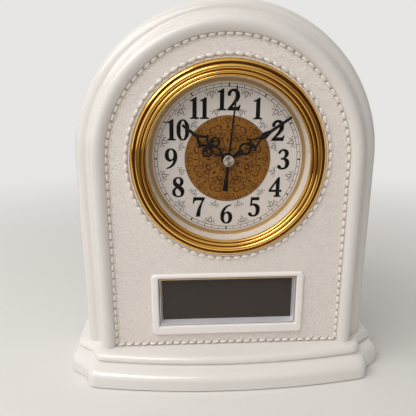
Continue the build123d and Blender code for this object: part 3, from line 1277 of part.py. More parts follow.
def button_screws():
    """The screws of the button board."""
    sizes = (SMALL_SCREW_RADIUS, SMALL_HEAD_RADIUS, SMALL_HEAD_THICK)
    y = COVER_Y - BUTTON_BOARD_DROP - BUTTON_BOARD_THICK
    length = BUTTON_BOARD_THICK + 5.0
    return Compound(children=[screw(x, z, *sizes, y, length, 1) for x, z in button_board_screws()])


def plinth_section(half_width, reach, z):
    """Plan of the plinth at one height: bowed front, round corners, a hollow flare and straight sides."""
    front = at(-reach)
    corner = (half_width - PLINTH_CORNER_IN, front + PLINTH_BOW)
    waist = (half_width - PLINTH_WAIST_IN, front + PLINTH_WAIST_BACK)
    tip = (half_width, front + PLINTH_TIP_BACK)
    back = (half_width, PLINTH_BACK_Y)
    bow = ThreePointArc((-corner[0], corner[1]), (0, front), corner)
    right = [Line(corner, waist), Line(waist, tip), Line(tip, back)]
    rear = Line(back, (-back[0], back[1]))
    left = [
        Line((-back[0], back[1]), (-tip[0], tip[1])),
        Line((-tip[0], tip[1]), (-waist[0], waist[1])),
        Line((-waist[0], waist[1]), (-corner[0], corner[1])),
    ]
    face = make_face([bow] + right + [rear] + left)
    rounds = ((corner, PLINTH_CORNER_ROUND), (waist, PLINTH_WAIST_ROUND), (tip, PLINTH_TIP_ROUND))
    for place, radius in rounds:
        picked = [v for v in face.vertices() if math.dist((abs(v.X), v.Y), place) < 0.01]
        face = fillet(picked, radius)
    return Pos(0, 0, z) * face


def plinth_body():
    """The solid moulding of the plinth: lower block, ovolo, soft neck and rounded top slab."""
    neck_half = UPPER_HALF_WIDTH - NECK_INSET
    neck_reach = UPPER_REACH - NECK_INSET
    ovolo_top = NECK_Z - COVE_RISE
    profile = [(0, FOOT_PROUD), (0, (FOOT_PROUD + LOWER_EDGE_Z) / 2)]
    for step in range(6):
        angle = math.radians(15 * step)
        profile.append((1 - math.cos(angle), LOWER_EDGE_Z + (ovolo_top - LOWER_EDGE_Z) * math.sin(angle)))
    profile += [(0.93, ovolo_top), (1, NECK_Z)]
    stations = []
    for share, height in profile:
        half = PLINTH_HALF_WIDTH - (PLINTH_HALF_WIDTH - neck_half) * share
        reach = PLINTH_REACH - (PLINTH_REACH - neck_reach) * share
        stations.append((half, reach, height))
    slab_z = PLINTH_TOP_Z - TOP_ROUND
    stations.append((neck_half + NECK_INSET * 0.6, neck_reach + NECK_INSET * 0.6, (NECK_Z + slab_z) / 2))
    for step in range(5):
        angle = math.radians(90 * step / 4)
        inset = TOP_ROUND * (1 - math.cos(angle))
        height = slab_z + TOP_ROUND * math.sin(angle)
        stations.append((UPPER_HALF_WIDTH - inset, UPPER_REACH - inset, height))
    return loft([plinth_section(*station) for station in stations], ruled=True)


def plinth_hollow(gap, z_low, z_high, inset):
    """A plain hollow that follows the plinth's plan."""
    half = PLINTH_HALF_WIDTH - inset - gap
    reach = PLINTH_REACH - inset - gap
    low = plinth_section(half, reach, z_low)
    cut = extrude(low, amount=z_high - z_low)
    return cut & block(-half, half, at(-reach), PLINTH_BACK_Y - PLINTH_WALL - gap, z_low, z_high)


def plinth():
    """The plinth: a hollow moulding, open underneath, with screw bosses."""
    body = plinth_body()
    body -= plinth_hollow(0, FOOT_PROUD - 1, LOWER_EDGE_Z + 1, PLINTH_WALL)
    deep_inset = LOWER_LEDGE + PLINTH_WALL + HOLLOW_MARGIN
    body -= plinth_hollow(0, LOWER_EDGE_Z, PLINTH_TOP_Z - PLINTH_WALL, deep_inset)
    boss_low = FOOT_PROUD + BASE_THICK
    for x, depth in base_screw_places():
        body += post(x, at(depth), BOSS_RADIUS, boss_low, PLINTH_TOP_Z - 1)
        body -= post(x, at(depth), PILOT_RADIUS, boss_low - 1, boss_low + COVER_SCREW_LENGTH)
    for x, depth in plinth_screw_places():
        body -= post(x, at(depth), HOLE_RADIUS, PLINTH_TOP_Z - PLINTH_WALL - 1, PLINTH_TOP_Z + 1)
    return body


def base_plate():
    """The plate that closes the plinth from below and carries the feet."""
    plate = plinth_hollow(SEAT_GAP, FOOT_PROUD, FOOT_PROUD + BASE_THICK, PLINTH_WALL)
    for x, depth in base_screw_places():
        plate -= post(x, at(depth), HOLE_RADIUS, FOOT_PROUD - 1, FOOT_PROUD + BASE_THICK + 1)
        plate -= post(x, at(depth), SCREW_HEAD_RADIUS + 0.3, FOOT_PROUD - 1, FOOT_PROUD + 1.2)
    for x, y in foot_places():
        plate -= post(x, y, FOOT_RADIUS, FOOT_PROUD - 1, FOOT_PROUD + FOOT_SINK)
    return plate


def foot_places():
    """Places of the four feet in the plan."""
    x = PLINTH_HALF_WIDTH - FOOT_SIDE_INSET
    return both_sides([(x, PLINTH_FRONT_Y + FOOT_FRONT_INSET), (x, PLINTH_BACK_Y - FOOT_BACK_INSET)])


def feet():
    """The four rubber feet."""
    top = FOOT_PROUD + FOOT_SINK
    return Compound(children=[post(x, y, FOOT_RADIUS, 0, top) for x, y in foot_places()])


def upright_screw(x, depth, z_head, length, head_thick):
    """A screw that points up, with its head below z_head."""
    shank = post(x, at(depth), SCREW_RADIUS, z_head, z_head + length)
    return shank + post(x, at(depth), SCREW_HEAD_RADIUS, z_head - head_thick, z_head)


def plinth_screws():
    """The screws from the plinth up into the case."""
    under = PLINTH_TOP_Z - PLINTH_WALL
    length = PLINTH_WALL + CASE_FOOT_BOSS_HEIGHT - 2.0
    group = [upright_screw(x, depth, under, length, SCREW_HEAD_THICK) for x, depth in plinth_screw_places()]
    return Compound(children=group)


def base_screws():
    """The countersunk screws of the base plate."""
    length = COVER_SCREW_LENGTH - 2.0
    group = [upright_screw(x, depth, FOOT_PROUD + 1.2, length, 1.0) for x, depth in base_screw_places()]
    return Compound(children=group)


def lcd_cable():
    """The cable from the button board to the display's board."""
    start = (0, COVER_Y - BUTTON_BOARD_DROP - BUTTON_BOARD_THICK, BUTTON_Z - 3)
    end = (12, at(HOLDER_BACK) + LCD_BOARD_THICK, LCD_FRAME_HIGH_Z - 9)
    span = start[1] - end[1]
    out_of_switches = (start[0], start[1] - span * 0.3, start[2])
    into_display = (end[0], end[1] + span * 0.3, end[2])
    path = FilletPolyline(start, out_of_switches, into_display, end, radius=2.6)
    section = Plane(origin=start, z_dir=path % 0) * Circle(LCD_CABLE_RADIUS)
    return sweep(section, path=path)


def build():
    """Makes every sub-part."""
    keep("front_case", front_case())
    keep("rear_cover", rear_cover())
    keep("cover_screws", cover_screws())
    keep("plinth", plinth())
    keep("base_plate", base_plate())
    keep("feet", feet())
    keep("plinth_screws", plinth_screws())
    keep("base_screws", base_screws())
    keep("front_panel", front_panel())
    keep("panel_rope", panel_rope())
    keep("dial_rope", dial_rope())
    keep("bezel", bezel())
    keep("dial_lens", dial_lens())
    keep("dial_well", dial_well())
    keep("dial", dial())
    keep("dial_ring", dial_ring())
    keep("dial_medallion", dial_medallion())
    keep("dial_carrier", dial_carrier())
    keep("dial_screws", dial_screws())
    keep("movement_front", movement_front())
    keep("movement_back", movement_back())
    keep("movement_pad", movement_pad())
    keep("shaft_washer", shaft_washer())
    keep("shaft_nut", shaft_nut())
    keep("rotor", rotor())
    keep("fifth_wheel", fifth_wheel())
    keep("second_wheel", second_wheel())
    keep("third_wheel", third_wheel())
    keep("centre_wheel", centre_wheel())
    keep("reverse_wheel", reverse_wheel())
    keep("hour_wheel", hour_wheel())
    keep("setting_knob", setting_knob())
    keep("stator", stator())
    keep("coil", coil())
    keep("circuit_board", circuit_board())
    keep("aa_cell", aa_cell())
    keep("movement_contacts", movement_contacts())
    keep("hour_hand", hour_hand())
    keep("minute_hand", minute_hand())
    keep("second_hand", second_hand())
    keep("second_cap", second_cap())
    keep("lcd_frame", lcd_frame())
    keep("lcd_surround", lcd_surround())
    keep("lcd_window", lcd_window())
    keep("lcd_cell", lcd_cell())
    keep("lcd_holder", lcd_holder())
    keep("lcd_strips", lcd_strips())
    keep("lcd_board", lcd_board())
    keep("lcd_screws", lcd_screws())
    keep("lcd_cable", lcd_cable())
    keep("button_board", button_board())
    keep("button_screws", button_screws())
    keep("battery_door", battery_door())
    keep("aaa_cells", aaa_cells())
    keep("aaa_contacts", aaa_contacts())
    for number, x in enumerate(button_places(), start=1):
        keep("button_" + str(number), button(x))


build()
for node, shape in PARTS.items():
    export_step(shape, "parts/" + node + ".step")
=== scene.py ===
"""Looks of the desk clock: camera, light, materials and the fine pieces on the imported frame."""

import math

import bpy
from mathutils import Matrix, Vector


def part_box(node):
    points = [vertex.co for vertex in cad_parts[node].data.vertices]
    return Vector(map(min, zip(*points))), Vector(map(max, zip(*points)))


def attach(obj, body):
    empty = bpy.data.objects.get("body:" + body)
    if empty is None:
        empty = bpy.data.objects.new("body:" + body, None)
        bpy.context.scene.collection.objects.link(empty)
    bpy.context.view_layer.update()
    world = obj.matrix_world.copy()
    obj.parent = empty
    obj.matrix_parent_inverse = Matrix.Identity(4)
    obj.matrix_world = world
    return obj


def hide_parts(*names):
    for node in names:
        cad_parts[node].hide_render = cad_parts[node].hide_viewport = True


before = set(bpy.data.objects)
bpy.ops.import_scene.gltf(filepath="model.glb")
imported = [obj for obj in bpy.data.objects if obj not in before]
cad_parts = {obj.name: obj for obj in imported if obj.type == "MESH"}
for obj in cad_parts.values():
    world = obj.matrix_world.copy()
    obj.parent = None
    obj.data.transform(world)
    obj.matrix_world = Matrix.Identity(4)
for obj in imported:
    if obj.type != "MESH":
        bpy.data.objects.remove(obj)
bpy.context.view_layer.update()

# ---------------------------------------------------------------- camera
# Solved from the photograph: its side, focal length and centre in pixels, the camera's place in
# metres and its angles in radians.
PHOTO = 416
FOCAL_PX = 509.163
CENTRE_PX = (208.0, 230.775)
SENSOR_MM = 36.0
CAMERA_PLACE = (-0.033716, -0.363784, 0.22617)
CAMERA_PITCH = 0.3048
CAMERA_YAW = 0.0532
CAMERA_ROLL = -0.0027
CLIP_START = 0.01


def make_camera():
    """A camera at the photograph's place, tilt and field of view."""
    ahead = Vector((
        math.sin(CAMERA_YAW) * math.cos(CAMERA_PITCH),
        math.cos(CAMERA_YAW) * math.cos(CAMERA_PITCH),
        -math.sin(CAMERA_PITCH),
    ))
    level = Vector((math.cos(CAMERA_YAW), -math.sin(CAMERA_YAW), 0.0))
    above = level.cross(ahead)
    right = math.cos(CAMERA_ROLL) * level + math.sin(CAMERA_ROLL) * above
    up = right.cross(ahead)
    data = bpy.data.cameras.new("camera")
    data.sensor_width = SENSOR_MM
    data.lens = FOCAL_PX * SENSOR_MM / PHOTO
    data.shift_x = (PHOTO / 2 - CENTRE_PX[0]) / PHOTO
    data.shift_y = (CENTRE_PX[1] - PHOTO / 2) / PHOTO
    data.clip_start = CLIP_START
    camera = bpy.data.objects.new("camera", data)
    turn = Matrix((right, up, -ahead)).transposed()
    camera.matrix_world = Matrix.Translation(CAMERA_PLACE) @ turn.to_4x4()
    bpy.context.scene.collection.objects.link(camera)
    bpy.context.scene.camera = camera


# ---------------------------------------------------------------- shader nodes
def colour_stops(tree, value, stops):
    """A colour that passes through the given stops as value goes from 0 to 1."""
    ramp = tree.nodes.new("ShaderNodeValToRGB")
    elements = ramp.color_ramp.elements
    for element, (position, colour) in zip(elements, (stops[0], stops[-1])):
        element.position = position
        element.color = (*colour, 1.0)
    for position, colour in stops[1:-1]:
        elements.new(position).color = (*colour, 1.0)
    tree.links.new(value, ramp.inputs["Fac"])
    return ramp.outputs["Color"]


def map_range(tree, value, source, target=(0.0, 1.0), kind="LINEAR"):
    """Takes a value from the source range to the target range."""
    node = tree.nodes.new("ShaderNodeMapRange")
    node.interpolation_type = kind
    for socket, end in zip(("From Min", "From Max", "To Min", "To Max"), (*source, *target)):
        node.inputs[socket].default_value = end
    tree.links.new(value, node.inputs["Value"])
    return node.outputs["Result"]


def combine(tree, operation, first, second):
    """The result of a Math node on two values."""
    node = tree.nodes.new("ShaderNodeMath")
    node.operation = operation
    tree.links.new(first, node.inputs[0])
    tree.links.new(second, node.inputs[1])
    return node.outputs["Value"]


# ---------------------------------------------------------------- materials
# Scales of noise are in features per metre.
MICRON = 0.000001
# The range in which nearly all values of a noise lie.
NOISE_RANGE = (0.3, 0.7)
# The roughness of a plain surface varies by this share, so many times finer than its blotches.
ROUGH_SPREAD = 0.15
ROUGH_FINENESS = 3.1
GRAIN_DETAIL = 2.0
# A clear pane's smears darken it to a share, and its haze varies its roughness between two shares.
SMEAR_SCALE = 40.0
SMEAR_SHADE = 0.9
HAZE_SCALE = 90.0
HAZE_RANGE = (0.7, 1.4)


class Surface:
    """A Principled material whose colour, roughness and relief vary over the surface."""

    def __init__(self, name, settings=()):
        self.material = bpy.data.materials.new(name)
        self.material.use_nodes = True
        self.tree = self.material.node_tree
        self.shader = self.tree.nodes["Principled BSDF"]
        self.place = self.tree.nodes.new("ShaderNodeTexCoord").outputs["Object"]
        for socket, value in dict(settings).items():
            self.shader.inputs[socket].default_value = value

    def noise(self, scale, detail=3.0, stretch=(1.0, 1.0, 1.0), distortion=0.0):
        """A noise value over the surface."""
        mapping = self.tree.nodes.new("ShaderNodeMapping")
        mapping.inputs["Scale"].default_value = stretch
        self.tree.links.new(self.place, mapping.inputs["Vector"])
        texture = self.tree.nodes.new("ShaderNodeTexNoise")
        texture.inputs["Scale"].default_value = scale
        texture.inputs["Detail"].default_value = detail
        texture.inputs["Distortion"].default_value = distortion
        self.tree.links.new(mapping.outputs["Vector"], texture.inputs["Vector"])
        return texture.outputs["Fac"]

    def paint(self, noise, low, high):
        """Varies the colour between low and high with a noise."""
        start, end = NOISE_RANGE
        colour = colour_stops(self.tree, noise, ((start, low), (end, high)))
        self.tree.links.new(colour, self.shader.inputs["Base Color"])

    def polish(self, noise, low, high):
        """Varies the roughness between low and high with a noise."""
        rough = map_range(self.tree, noise, NOISE_RANGE, (low, high))
        self.tree.links.new(rough, self.shader.inputs["Roughness"])

    def relief(self, noise, depth):
        """Raises and lowers the surface by depth micrometres with a noise."""
        bump = self.tree.nodes.new("ShaderNodeBump")
        bump.inputs["Distance"].default_value = depth * MICRON
        self.tree.links.new(noise, bump.inputs["Height"])
        self.tree.links.new(bump.outputs["Normal"], self.shader.inputs["Normal"])


def moulded(name, colour, rough, spread, blotches, grain, depth, settings=()):
    """Moulded or painted plastic and plain metal, with faint blotches and a fine grain."""
    surface = Surface(name, settings)
    low = tuple(c * (1 - spread) for c in colour)
    high = tuple(min(1.0, c * (1 + spread)) for c in colour)
    surface.paint(surface.noise(blotches), low, high)
    patches = surface.noise(blotches * ROUGH_FINENESS)
    surface.polish(patches, rough * (1 - ROUGH_SPREAD), rough * (1 + ROUGH_SPREAD))
    surface.relief(surface.noise(grain, GRAIN_DETAIL), depth)
    return surface.material


def leather():
    """White moulded leather grain of fine, mostly level wrinkles."""
    surface = Surface("panel_grain")
    folds = surface.noise(scale=900.0, detail=1.5, stretch=(0.5, 1.0, 1.2), distortion=1.5)
    surface.paint(folds, low=(0.78, 0.72, 0.675), high=(0.91, 0.85, 0.805))
    surface.polish(folds, low=0.5, high=0.36)
    surface.relief(folds, depth=700)
    return surface.material


def clear(name, colour, rough, alpha):
    """A thin clear pane with faint smears."""
    surface = Surface(name, {"Alpha": alpha, "Specular IOR Level": 0.5})
    surface.paint(surface.noise(SMEAR_SCALE), tuple(c * SMEAR_SHADE for c in colour), colour)
    surface.polish(surface.noise(HAZE_SCALE), *(rough * share for share in HAZE_RANGE))
    return surface.material


def turned_steel():
    """The cap's steel, turned in fine circles, so that its shine forms rays."""
    surface = Surface("cap_steel", {"Metallic": 1.0, "Anisotropic": 0.85})
    surface.paint(surface.noise(scale=300.0), low=(0.80, 0.76, 0.73), high=(0.92, 0.88, 0.85))
    surface.polish(surface.noise(scale=900.0), low=0.28, high=0.36)
    tangent = surface.tree.nodes.new("ShaderNodeTangent")
    tangent.direction_type = "RADIAL"
    tangent.axis = "Y"
    surface.tree.links.new(tangent.outputs["Tangent"], surface.shader.inputs["Tangent"])
    return surface.material


METAL = {"Metallic": 1.0}
# The plain surfaces: colour, roughness, share by which the colour varies, scales of the blotches
# and of the grain, depth of the grain in micrometres, and what else the shader is set to.
PLAIN_SURFACES = {
    "case_white": ((0.745, 0.72, 0.695), 0.12, 0.012, 25, 200, 4,
                   {"Specular IOR Level": 0.3, "Coat Weight": 0.2}),
    "plinth_white": ((0.80, 0.775, 0.75), 0.12, 0.012, 25, 200, 4, {"Coat Weight": 0.3}),
    "back_white": ((0.74, 0.71, 0.68), 0.42, 0.02, 30, 1600, 40),
    "rope_white": ((0.80, 0.75, 0.70), 0.2, 0.02, 80, 700, 10, {"Coat Weight": 0.6}),
    # Painted shade: a dark brown for the strips under the rope beads and round the display, where
    # gaps fall in shade.
    "painted_gap_shade": ((0.44, 0.36, 0.28), 0.6, 0.06, 80, 700, 10),
    "gilt_plastic": ((0.93, 0.58, 0.15), 0.07, 0.04, 60, 500, 4, METAL),
    # Painted shade for the bezel's grooves.
    "gilt_painted_shade": ((0.07, 0.022, 0.006), 0.3, 0.1, 60, 500, 4, {"Metallic": 0.5}),
    "gilt_brass": ((0.72, 0.52, 0.28), 0.4, 0.06, 90, 1400, 20, METAL),
    "bronze_foil": ((0.39, 0.168, 0.025), 0.5, 0.12, 120, 1400, 20, {"Metallic": 0.6}),
    "bronze_dark": ((0.17, 0.06, 0.008), 0.5, 0.12, 200, 1500, 10, {"Metallic": 0.5}),
    "well_white": ((0.78, 0.72, 0.65), 0.3, 0.02, 40, 900, 10),
    "dial_white": ((0.76, 0.71, 0.68), 0.5, 0.02, 50, 1800, 10),
    "print_black": ((0.006, 0.005, 0.004), 0.6, 0.2, 200, 1500, 10, {"Specular IOR Level": 0.1}),
    "print_grey": ((0.04, 0.03, 0.028), 0.5, 0.1, 200, 1500, 10),
    "hand_black": ((0.006, 0.0055, 0.005), 0.35, 0.2, 90, 1500, 10, {"Specular IOR Level": 0.25}),
    "frame_white": ((0.89, 0.85, 0.825), 0.2, 0.02, 60, 700, 10, {"Coat Weight": 0.3}),
    "silver_plastic": ((0.70, 0.70, 0.75), 0.36, 0.03, 70, 1500, 4, {"Metallic": 0.4}),
    "lcd_glass": ((0.12, 0.11, 0.09), 0.15, 0.05, 40, 900, 10),
    "button_grey": ((0.42, 0.41, 0.41), 0.5, 0.06, 200, 2500, 40),
    "movement_black": ((0.03, 0.03, 0.032), 0.45, 0.15, 60, 2500, 40),
    "wheel_white": ((0.72, 0.71, 0.68), 0.4, 0.03, 200, 1800, 20),
    "knob_black": ((0.04, 0.04, 0.042), 0.4, 0.15, 200, 2500, 30),
    "inner_grey": ((0.35, 0.35, 0.36), 0.5, 0.05, 80, 2000, 40),
    "board_green": ((0.05, 0.19, 0.09), 0.4, 0.12, 300, 900, 20),
    "coil_copper": ((0.62, 0.30, 0.14), 0.35, 0.1, 300, 5000, 40, METAL),
    "iron_plate": ((0.42, 0.42, 0.43), 0.35, 0.08, 300, 2500, 20, METAL),
    "magnet_grey": ((0.12, 0.12, 0.125), 0.5, 0.1, 300, 2500, 30, {"Metallic": 0.6}),
    "screw_steel": ((0.50, 0.49, 0.48), 0.35, 0.08, 300, 2500, 20, METAL),
    "contact_steel": ((0.56, 0.55, 0.54), 0.3, 0.08, 300, 2500, 20, METAL),
    "nut_dark": ((0.06, 0.05, 0.045), 0.4, 0.12, 300, 2500, 20, {"Metallic": 0.8}),
    "cell_jacket": ((0.10, 0.14, 0.22), 0.3, 0.1, 80, 1500, 10, {"Coat Weight": 0.3}),
    "pad_rubber": ((0.03, 0.03, 0.03), 0.8, 0.2, 200, 3000, 60),
    "foot_rubber": ((0.05, 0.05, 0.05), 0.75, 0.2, 200, 3000, 60),
    "strip_rubber": ((0.30, 0.22, 0.24), 0.7, 0.15, 400, 3000, 50),
    "cable_grey": ((0.45, 0.45, 0.46), 0.5, 0.08, 300, 3000, 30),
}
MATERIALS = {name: moulded(name, *values) for name, values in PLAIN_SURFACES.items()}
MATERIALS["panel_grain"] = leather()
MATERIALS["cap_steel"] = turned_steel()
MATERIALS["clear_lens"] = clear("clear_lens", (0.1, 0.1, 0.1), rough=0.03, alpha=0.03)
MATERIALS["dark_window"] = clear("dark_window", (0.045, 0.032, 0.026), rough=0.12, alpha=0.82)


def dress_nodes():
    """Gives each solid of the frame the material of its slot."""
    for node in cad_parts.values():
        for slot in node.material_slots:
            slot.material = MATERIALS[slot.material.name.split(".")[0]]


# ---------------------------------------------------------------- places
# From here to the light, lengths are in millimetres and angles in radians.
MM = 0.001
TO_METRES = Matrix.Scale(MM, 4)
DIAL_Z = 165.2
ARCH_Z = 164.2
PANEL_Y = -10.0
ROPE_HALF_WIDTH = 85.0
ROPE_BOTTOM_Z = 23.8
DIAL_ROPE_RADIUS = 71.5
BAND_INNER = 86.6
BEZEL_RADIUS = 69.2


def box_of(node):
    """The low and the high corner of a node."""
    return [Vector(corner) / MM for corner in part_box(node)]


DIAL_FACE = box_of("dial")[0].y
MEDALLION_FACE = box_of("dial_medallion")[0].y


def front_plane(depth, z=DIAL_Z, turn=0.0):
    """Takes a drawing's x, y and height to the clock's front, in metres. turn is clockwise."""
    upright = Matrix(((1, 0, 0), (0, 0, -1), (0, 1, 0))).to_4x4()
    place = Matrix.Translation((0, depth, z))
    return TO_METRES @ place @ upright @ Matrix.Rotation(-turn, 4, "Z")


def place_piece(name, mesh, slot, material=None, stands_for=None, smooth=False):
    """Adds a mesh in the row frame as a piece of the clock."""
    piece = bpy.data.objects.new(name, mesh)
    bpy.context.scene.collection.objects.link(piece)
    mesh.materials.clear()
    mesh.materials.append(MATERIALS[material or slot])
    for polygon in mesh.polygons:
        polygon.use_smooth = smooth
    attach(piece, "clock")
    if stands_for:
        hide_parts(stands_for)


# ---------------------------------------------------------------- drawings
CIRCLE_STEPS = 180
DOT_SIDES = 10
CURL_STEPS = 16
# How wide a raised strip or dot is at its top, and a curl at its end, as a share of its start.
TOP_SHARE = 0.8
CURL_END = 0.25


class Drawing:
    """Raised strips, dots and grids collected in one mesh."""

    def __init__(self, rise=0.0):
        self.rise = rise
        self.points = []
        self.faces = []

    def add(self, points, faces, matrix=TO_METRES):
        """Adds points of the drawing through a matrix."""
        start = len(self.points)
        self.points += [matrix @ Vector(p) for p in points]
        self.faces += [tuple(start + i for i in f) for f in faces]

    def strip(self, line, widths, matrix, closed=False):
        """A raised strip along a line of points, as wide as widths says at each."""
        count = len(line)
        section = ((1, 0), (TOP_SHARE, self.rise), (-TOP_SHARE, self.rise), (-1, 0))
        points = []
        for i, (x, y) in enumerate(line):
            before = line[i - 1] if i or closed else line[i]
            after = line[(i + 1) % count] if i < count - 1 or closed else line[i]
            along = Vector((after[0] - before[0], after[1] - before[1])).normalized()
            half = (widths[i] if isinstance(widths, list) else widths) / 2
            side = Vector((-along.y, along.x)) * half
            points += [(x + side.x * share, y + side.y * share, rise) for share, rise in section]
        size = len(section)
        faces = []
        for i in range(count if closed else count - 1):
            a = size * i
            b = size * ((i + 1) % count)
            faces += [(a + k, a + k + 1, b + k + 1, b + k) for k in range(size - 1)]
        self.add(points, faces, matrix)

    def dot(self, x, y, radius, matrix):
        """A raised round dot."""
        foot = circle_line(radius, DOT_SIDES)
        top = circle_line(radius * TOP_SHARE, DOT_SIDES)
        points = [(x + dx, y + dy, 0) for dx, dy in foot]
        points += [(x + dx, y + dy, self.rise) for dx, dy in top]
        lid = tuple(range(DOT_SIDES, 2 * DOT_SIDES))
        self.add(points, grid_faces(2, DOT_SIDES, closed=True) + [lid], matrix)

    def place(self, name, slot, material=None, **details):
        """Makes the drawing a piece of the clock."""
        mesh = bpy.data.meshes.new(name)
        mesh.from_pydata(self.points, [], self.faces)
        mesh.update()
        place_piece(name, mesh, slot, material, **details)


def grid_faces(rows, columns, closed=False):
    """The quads between rows of points."""
    faces = []
    for i in range(rows - 1):
        for j in range(columns if closed else columns - 1):
            a = i * columns + j
            b = i * columns + (j + 1) % columns
            faces.append((a, b, b + columns, a + columns))
    return faces


def circle_line(radius, count=CIRCLE_STEPS):
    """Points of a circle about the origin."""
    turns = [math.tau * k / count for k in range(count)]
    return [(radius * math.cos(t), radius * math.sin(t)) for t in turns]


def curl(x, y, heading, radius, turns):
    """A spiral that leaves a point with a heading and winds up. Negative turns go clockwise."""
    points = [(x, y)]
    step = math.tau * turns / CURL_STEPS
    for k in range(CURL_STEPS):
        length = abs(step) * radius * (1 - (1 - CURL_END) * k / CURL_STEPS)
        heading += step
        x += length * math.cos(heading)
        y += length * math.sin(heading)
        points.append((x, y))
    return points


def taper(count, wide, thin):
    """Widths that go from wide to thin."""
    return [wide + (thin - wide) * k / (count - 1) for k in range(count)]


# ---------------------------------------------------------------- dial
NUMERAL_HEIGHT = 14.7
NUMERAL_GAP = 0.25
NUMERAL_RISE = 0.05
NUMERAL_SWELL = 0.1
NUMERAL_STEPS = 5
PRINT_TURN = math.radians(0.8)
C = 1
# Each figure's width and its outlines, for a height of 1. A point marked C is a corner.
FIGURES = {
    "0": (0.62, [
        [(0.31, 1.0), (0.54, 0.84), (0.61, 0.5), (0.54, 0.15), (0.31, -0.01), (0.08, 0.15),
         (0.01, 0.5), (0.08, 0.84)],
        [(0.31, 0.94), (0.40, 0.80), (0.42, 0.5), (0.40, 0.19), (0.31, 0.05), (0.22, 0.19),
         (0.20, 0.5), (0.22, 0.80)],
    ]),
    "1": (0.46, [
        [(0.03, 0, C), (0.45, 0, C), (0.45, 0.045, C), (0.335, 0.085, C), (0.335, 1.0, C),
         (0.27, 1.0, C), (0.15, 0.92), (0.02, 0.87, C), (0.02, 0.83, C), (0.145, 0.825, C),
         (0.145, 0.085, C), (0.03, 0.045, C)],
    ]),
    "2": (0.66, [
        [(0.02, 0, C), (0.60, 0, C), (0.655, 0.26, C), (0.615, 0.26, C), (0.54, 0.17),
         (0.42, 0.155, C), (0.25, 0.155, C), (0.46, 0.37), (0.585, 0.54), (0.61, 0.72),
         (0.53, 0.92), (0.32, 1.0), (0.12, 0.92), (0.03, 0.74), (0.08, 0.665), (0.17, 0.70),
         (0.19, 0.80), (0.28, 0.89), (0.38, 0.83), (0.41, 0.70), (0.37, 0.52), (0.22, 0.29),
         (0.02, 0.05, C)],
    ]),
    "3": (0.62, [
        [(0.05, 0.80), (0.14, 0.95), (0.31, 1.0), (0.50, 0.93), (0.555, 0.78), (0.50, 0.63),
         (0.41, 0.565, C), (0.55, 0.48), (0.605, 0.30), (0.52, 0.08), (0.27, -0.01), (0.08, 0.04),
         (0.015, 0.14), (0.07, 0.21), (0.16, 0.18), (0.24, 0.08), (0.35, 0.09), (0.41, 0.26),
         (0.36, 0.44), (0.18, 0.49, C), (0.18, 0.545, C), (0.32, 0.60), (0.37, 0.76), (0.32, 0.89),
         (0.23, 0.91), (0.17, 0.83), (0.12, 0.765)],
    ]),
    "4": (0.66, [
        [(0.27, 0, C), (0.63, 0, C), (0.63, 0.045, C), (0.545, 0.08, C), (0.545, 0.255, C),
         (0.655, 0.255, C), (0.655, 0.355, C), (0.545, 0.355, C), (0.545, 1.0, C), (0.46, 1.0, C),
         (0.02, 0.355, C), (0.02, 0.255, C), (0.365, 0.255, C), (0.365, 0.08, C), (0.27, 0.045, C)],
        [(0.365, 0.355, C), (0.365, 0.72, C), (0.12, 0.355, C)],
    ]),
    "5": (0.62, [
        [(0.14, 1.0, C), (0.57, 1.0, C), (0.54, 0.85, C), (0.22, 0.85, C), (0.20, 0.66, C),
         (0.36, 0.67), (0.55, 0.56), (0.60, 0.34), (0.50, 0.08), (0.25, -0.01), (0.08, 0.04),
         (0.015, 0.14), (0.07, 0.21), (0.16, 0.18), (0.24, 0.08), (0.35, 0.10), (0.40, 0.32),
         (0.35, 0.52), (0.22, 0.58), (0.10, 0.53, C)],
    ]),
    "6": (0.62, [
        [(0.55, 1.0, C), (0.55, 0.96, C), (0.37, 0.86), (0.25, 0.72), (0.20, 0.55, C), (0.36, 0.63),
         (0.55, 0.53), (0.61, 0.31), (0.52, 0.07), (0.31, -0.01), (0.09, 0.10), (0.01, 0.38),
         (0.09, 0.70), (0.30, 0.92)],
        [(0.31, 0.05), (0.40, 0.13), (0.42, 0.30), (0.39, 0.47), (0.31, 0.53), (0.22, 0.46),
         (0.19, 0.30), (0.22, 0.13)],
    ]),
    "7": (0.62, [
        [(0.04, 1.0, C), (0.61, 1.0, C), (0.61, 0.94, C), (0.46, 0.60), (0.37, 0.0, C),
         (0.16, 0.0, C), (0.27, 0.42), (0.47, 0.84, C), (0.19, 0.84), (0.10, 0.80), (0.06, 0.68, C),
         (0.01, 0.68, C)],
    ]),
    "8": (0.62, [
        [(0.31, 1.0), (0.51, 0.93), (0.57, 0.77), (0.52, 0.62), (0.44, 0.545, C), (0.56, 0.44),
         (0.61, 0.26), (0.53, 0.06), (0.31, -0.01), (0.09, 0.06), (0.01, 0.24), (0.07, 0.40),
         (0.19, 0.50, C), (0.09, 0.60), (0.05, 0.75), (0.12, 0.93)],
        [(0.31, 0.94), (0.39, 0.89), (0.41, 0.77), (0.37, 0.63, C), (0.25, 0.71), (0.20, 0.82),
         (0.23, 0.90)],
        [(0.25, 0.44, C), (0.17, 0.34), (0.17, 0.20), (0.23, 0.08), (0.32, 0.05), (0.42, 0.09),
         (0.44, 0.19), (0.38, 0.32)],
    ]),
}
# How far each numeral's middle lies from the hub, by hour.
NUMERAL_RADIUS = {12: 41.7, 6: 41.0, 3: 40.7, 9: 40.7}
NUMERAL_OTHER_RADIUS = 41.2
TRACK_OUTER = 52.8
TRACK_INNER = 50.6
TRACK_RISE = 0.04
TRACK_LINE = 0.32
TICK_WIDTH = 0.35
HOUR_TICK_WIDTH = 0.9


def figure_loops(figure):
    """The figure's width and outlines. A nine is a six turned half round."""
    if figure != "9":
        return FIGURES[figure]
    width, loops = FIGURES["6"]
    return width, [[(width - p[0], 1 - p[1], *p[2:]) for p in loop] for loop in loops]


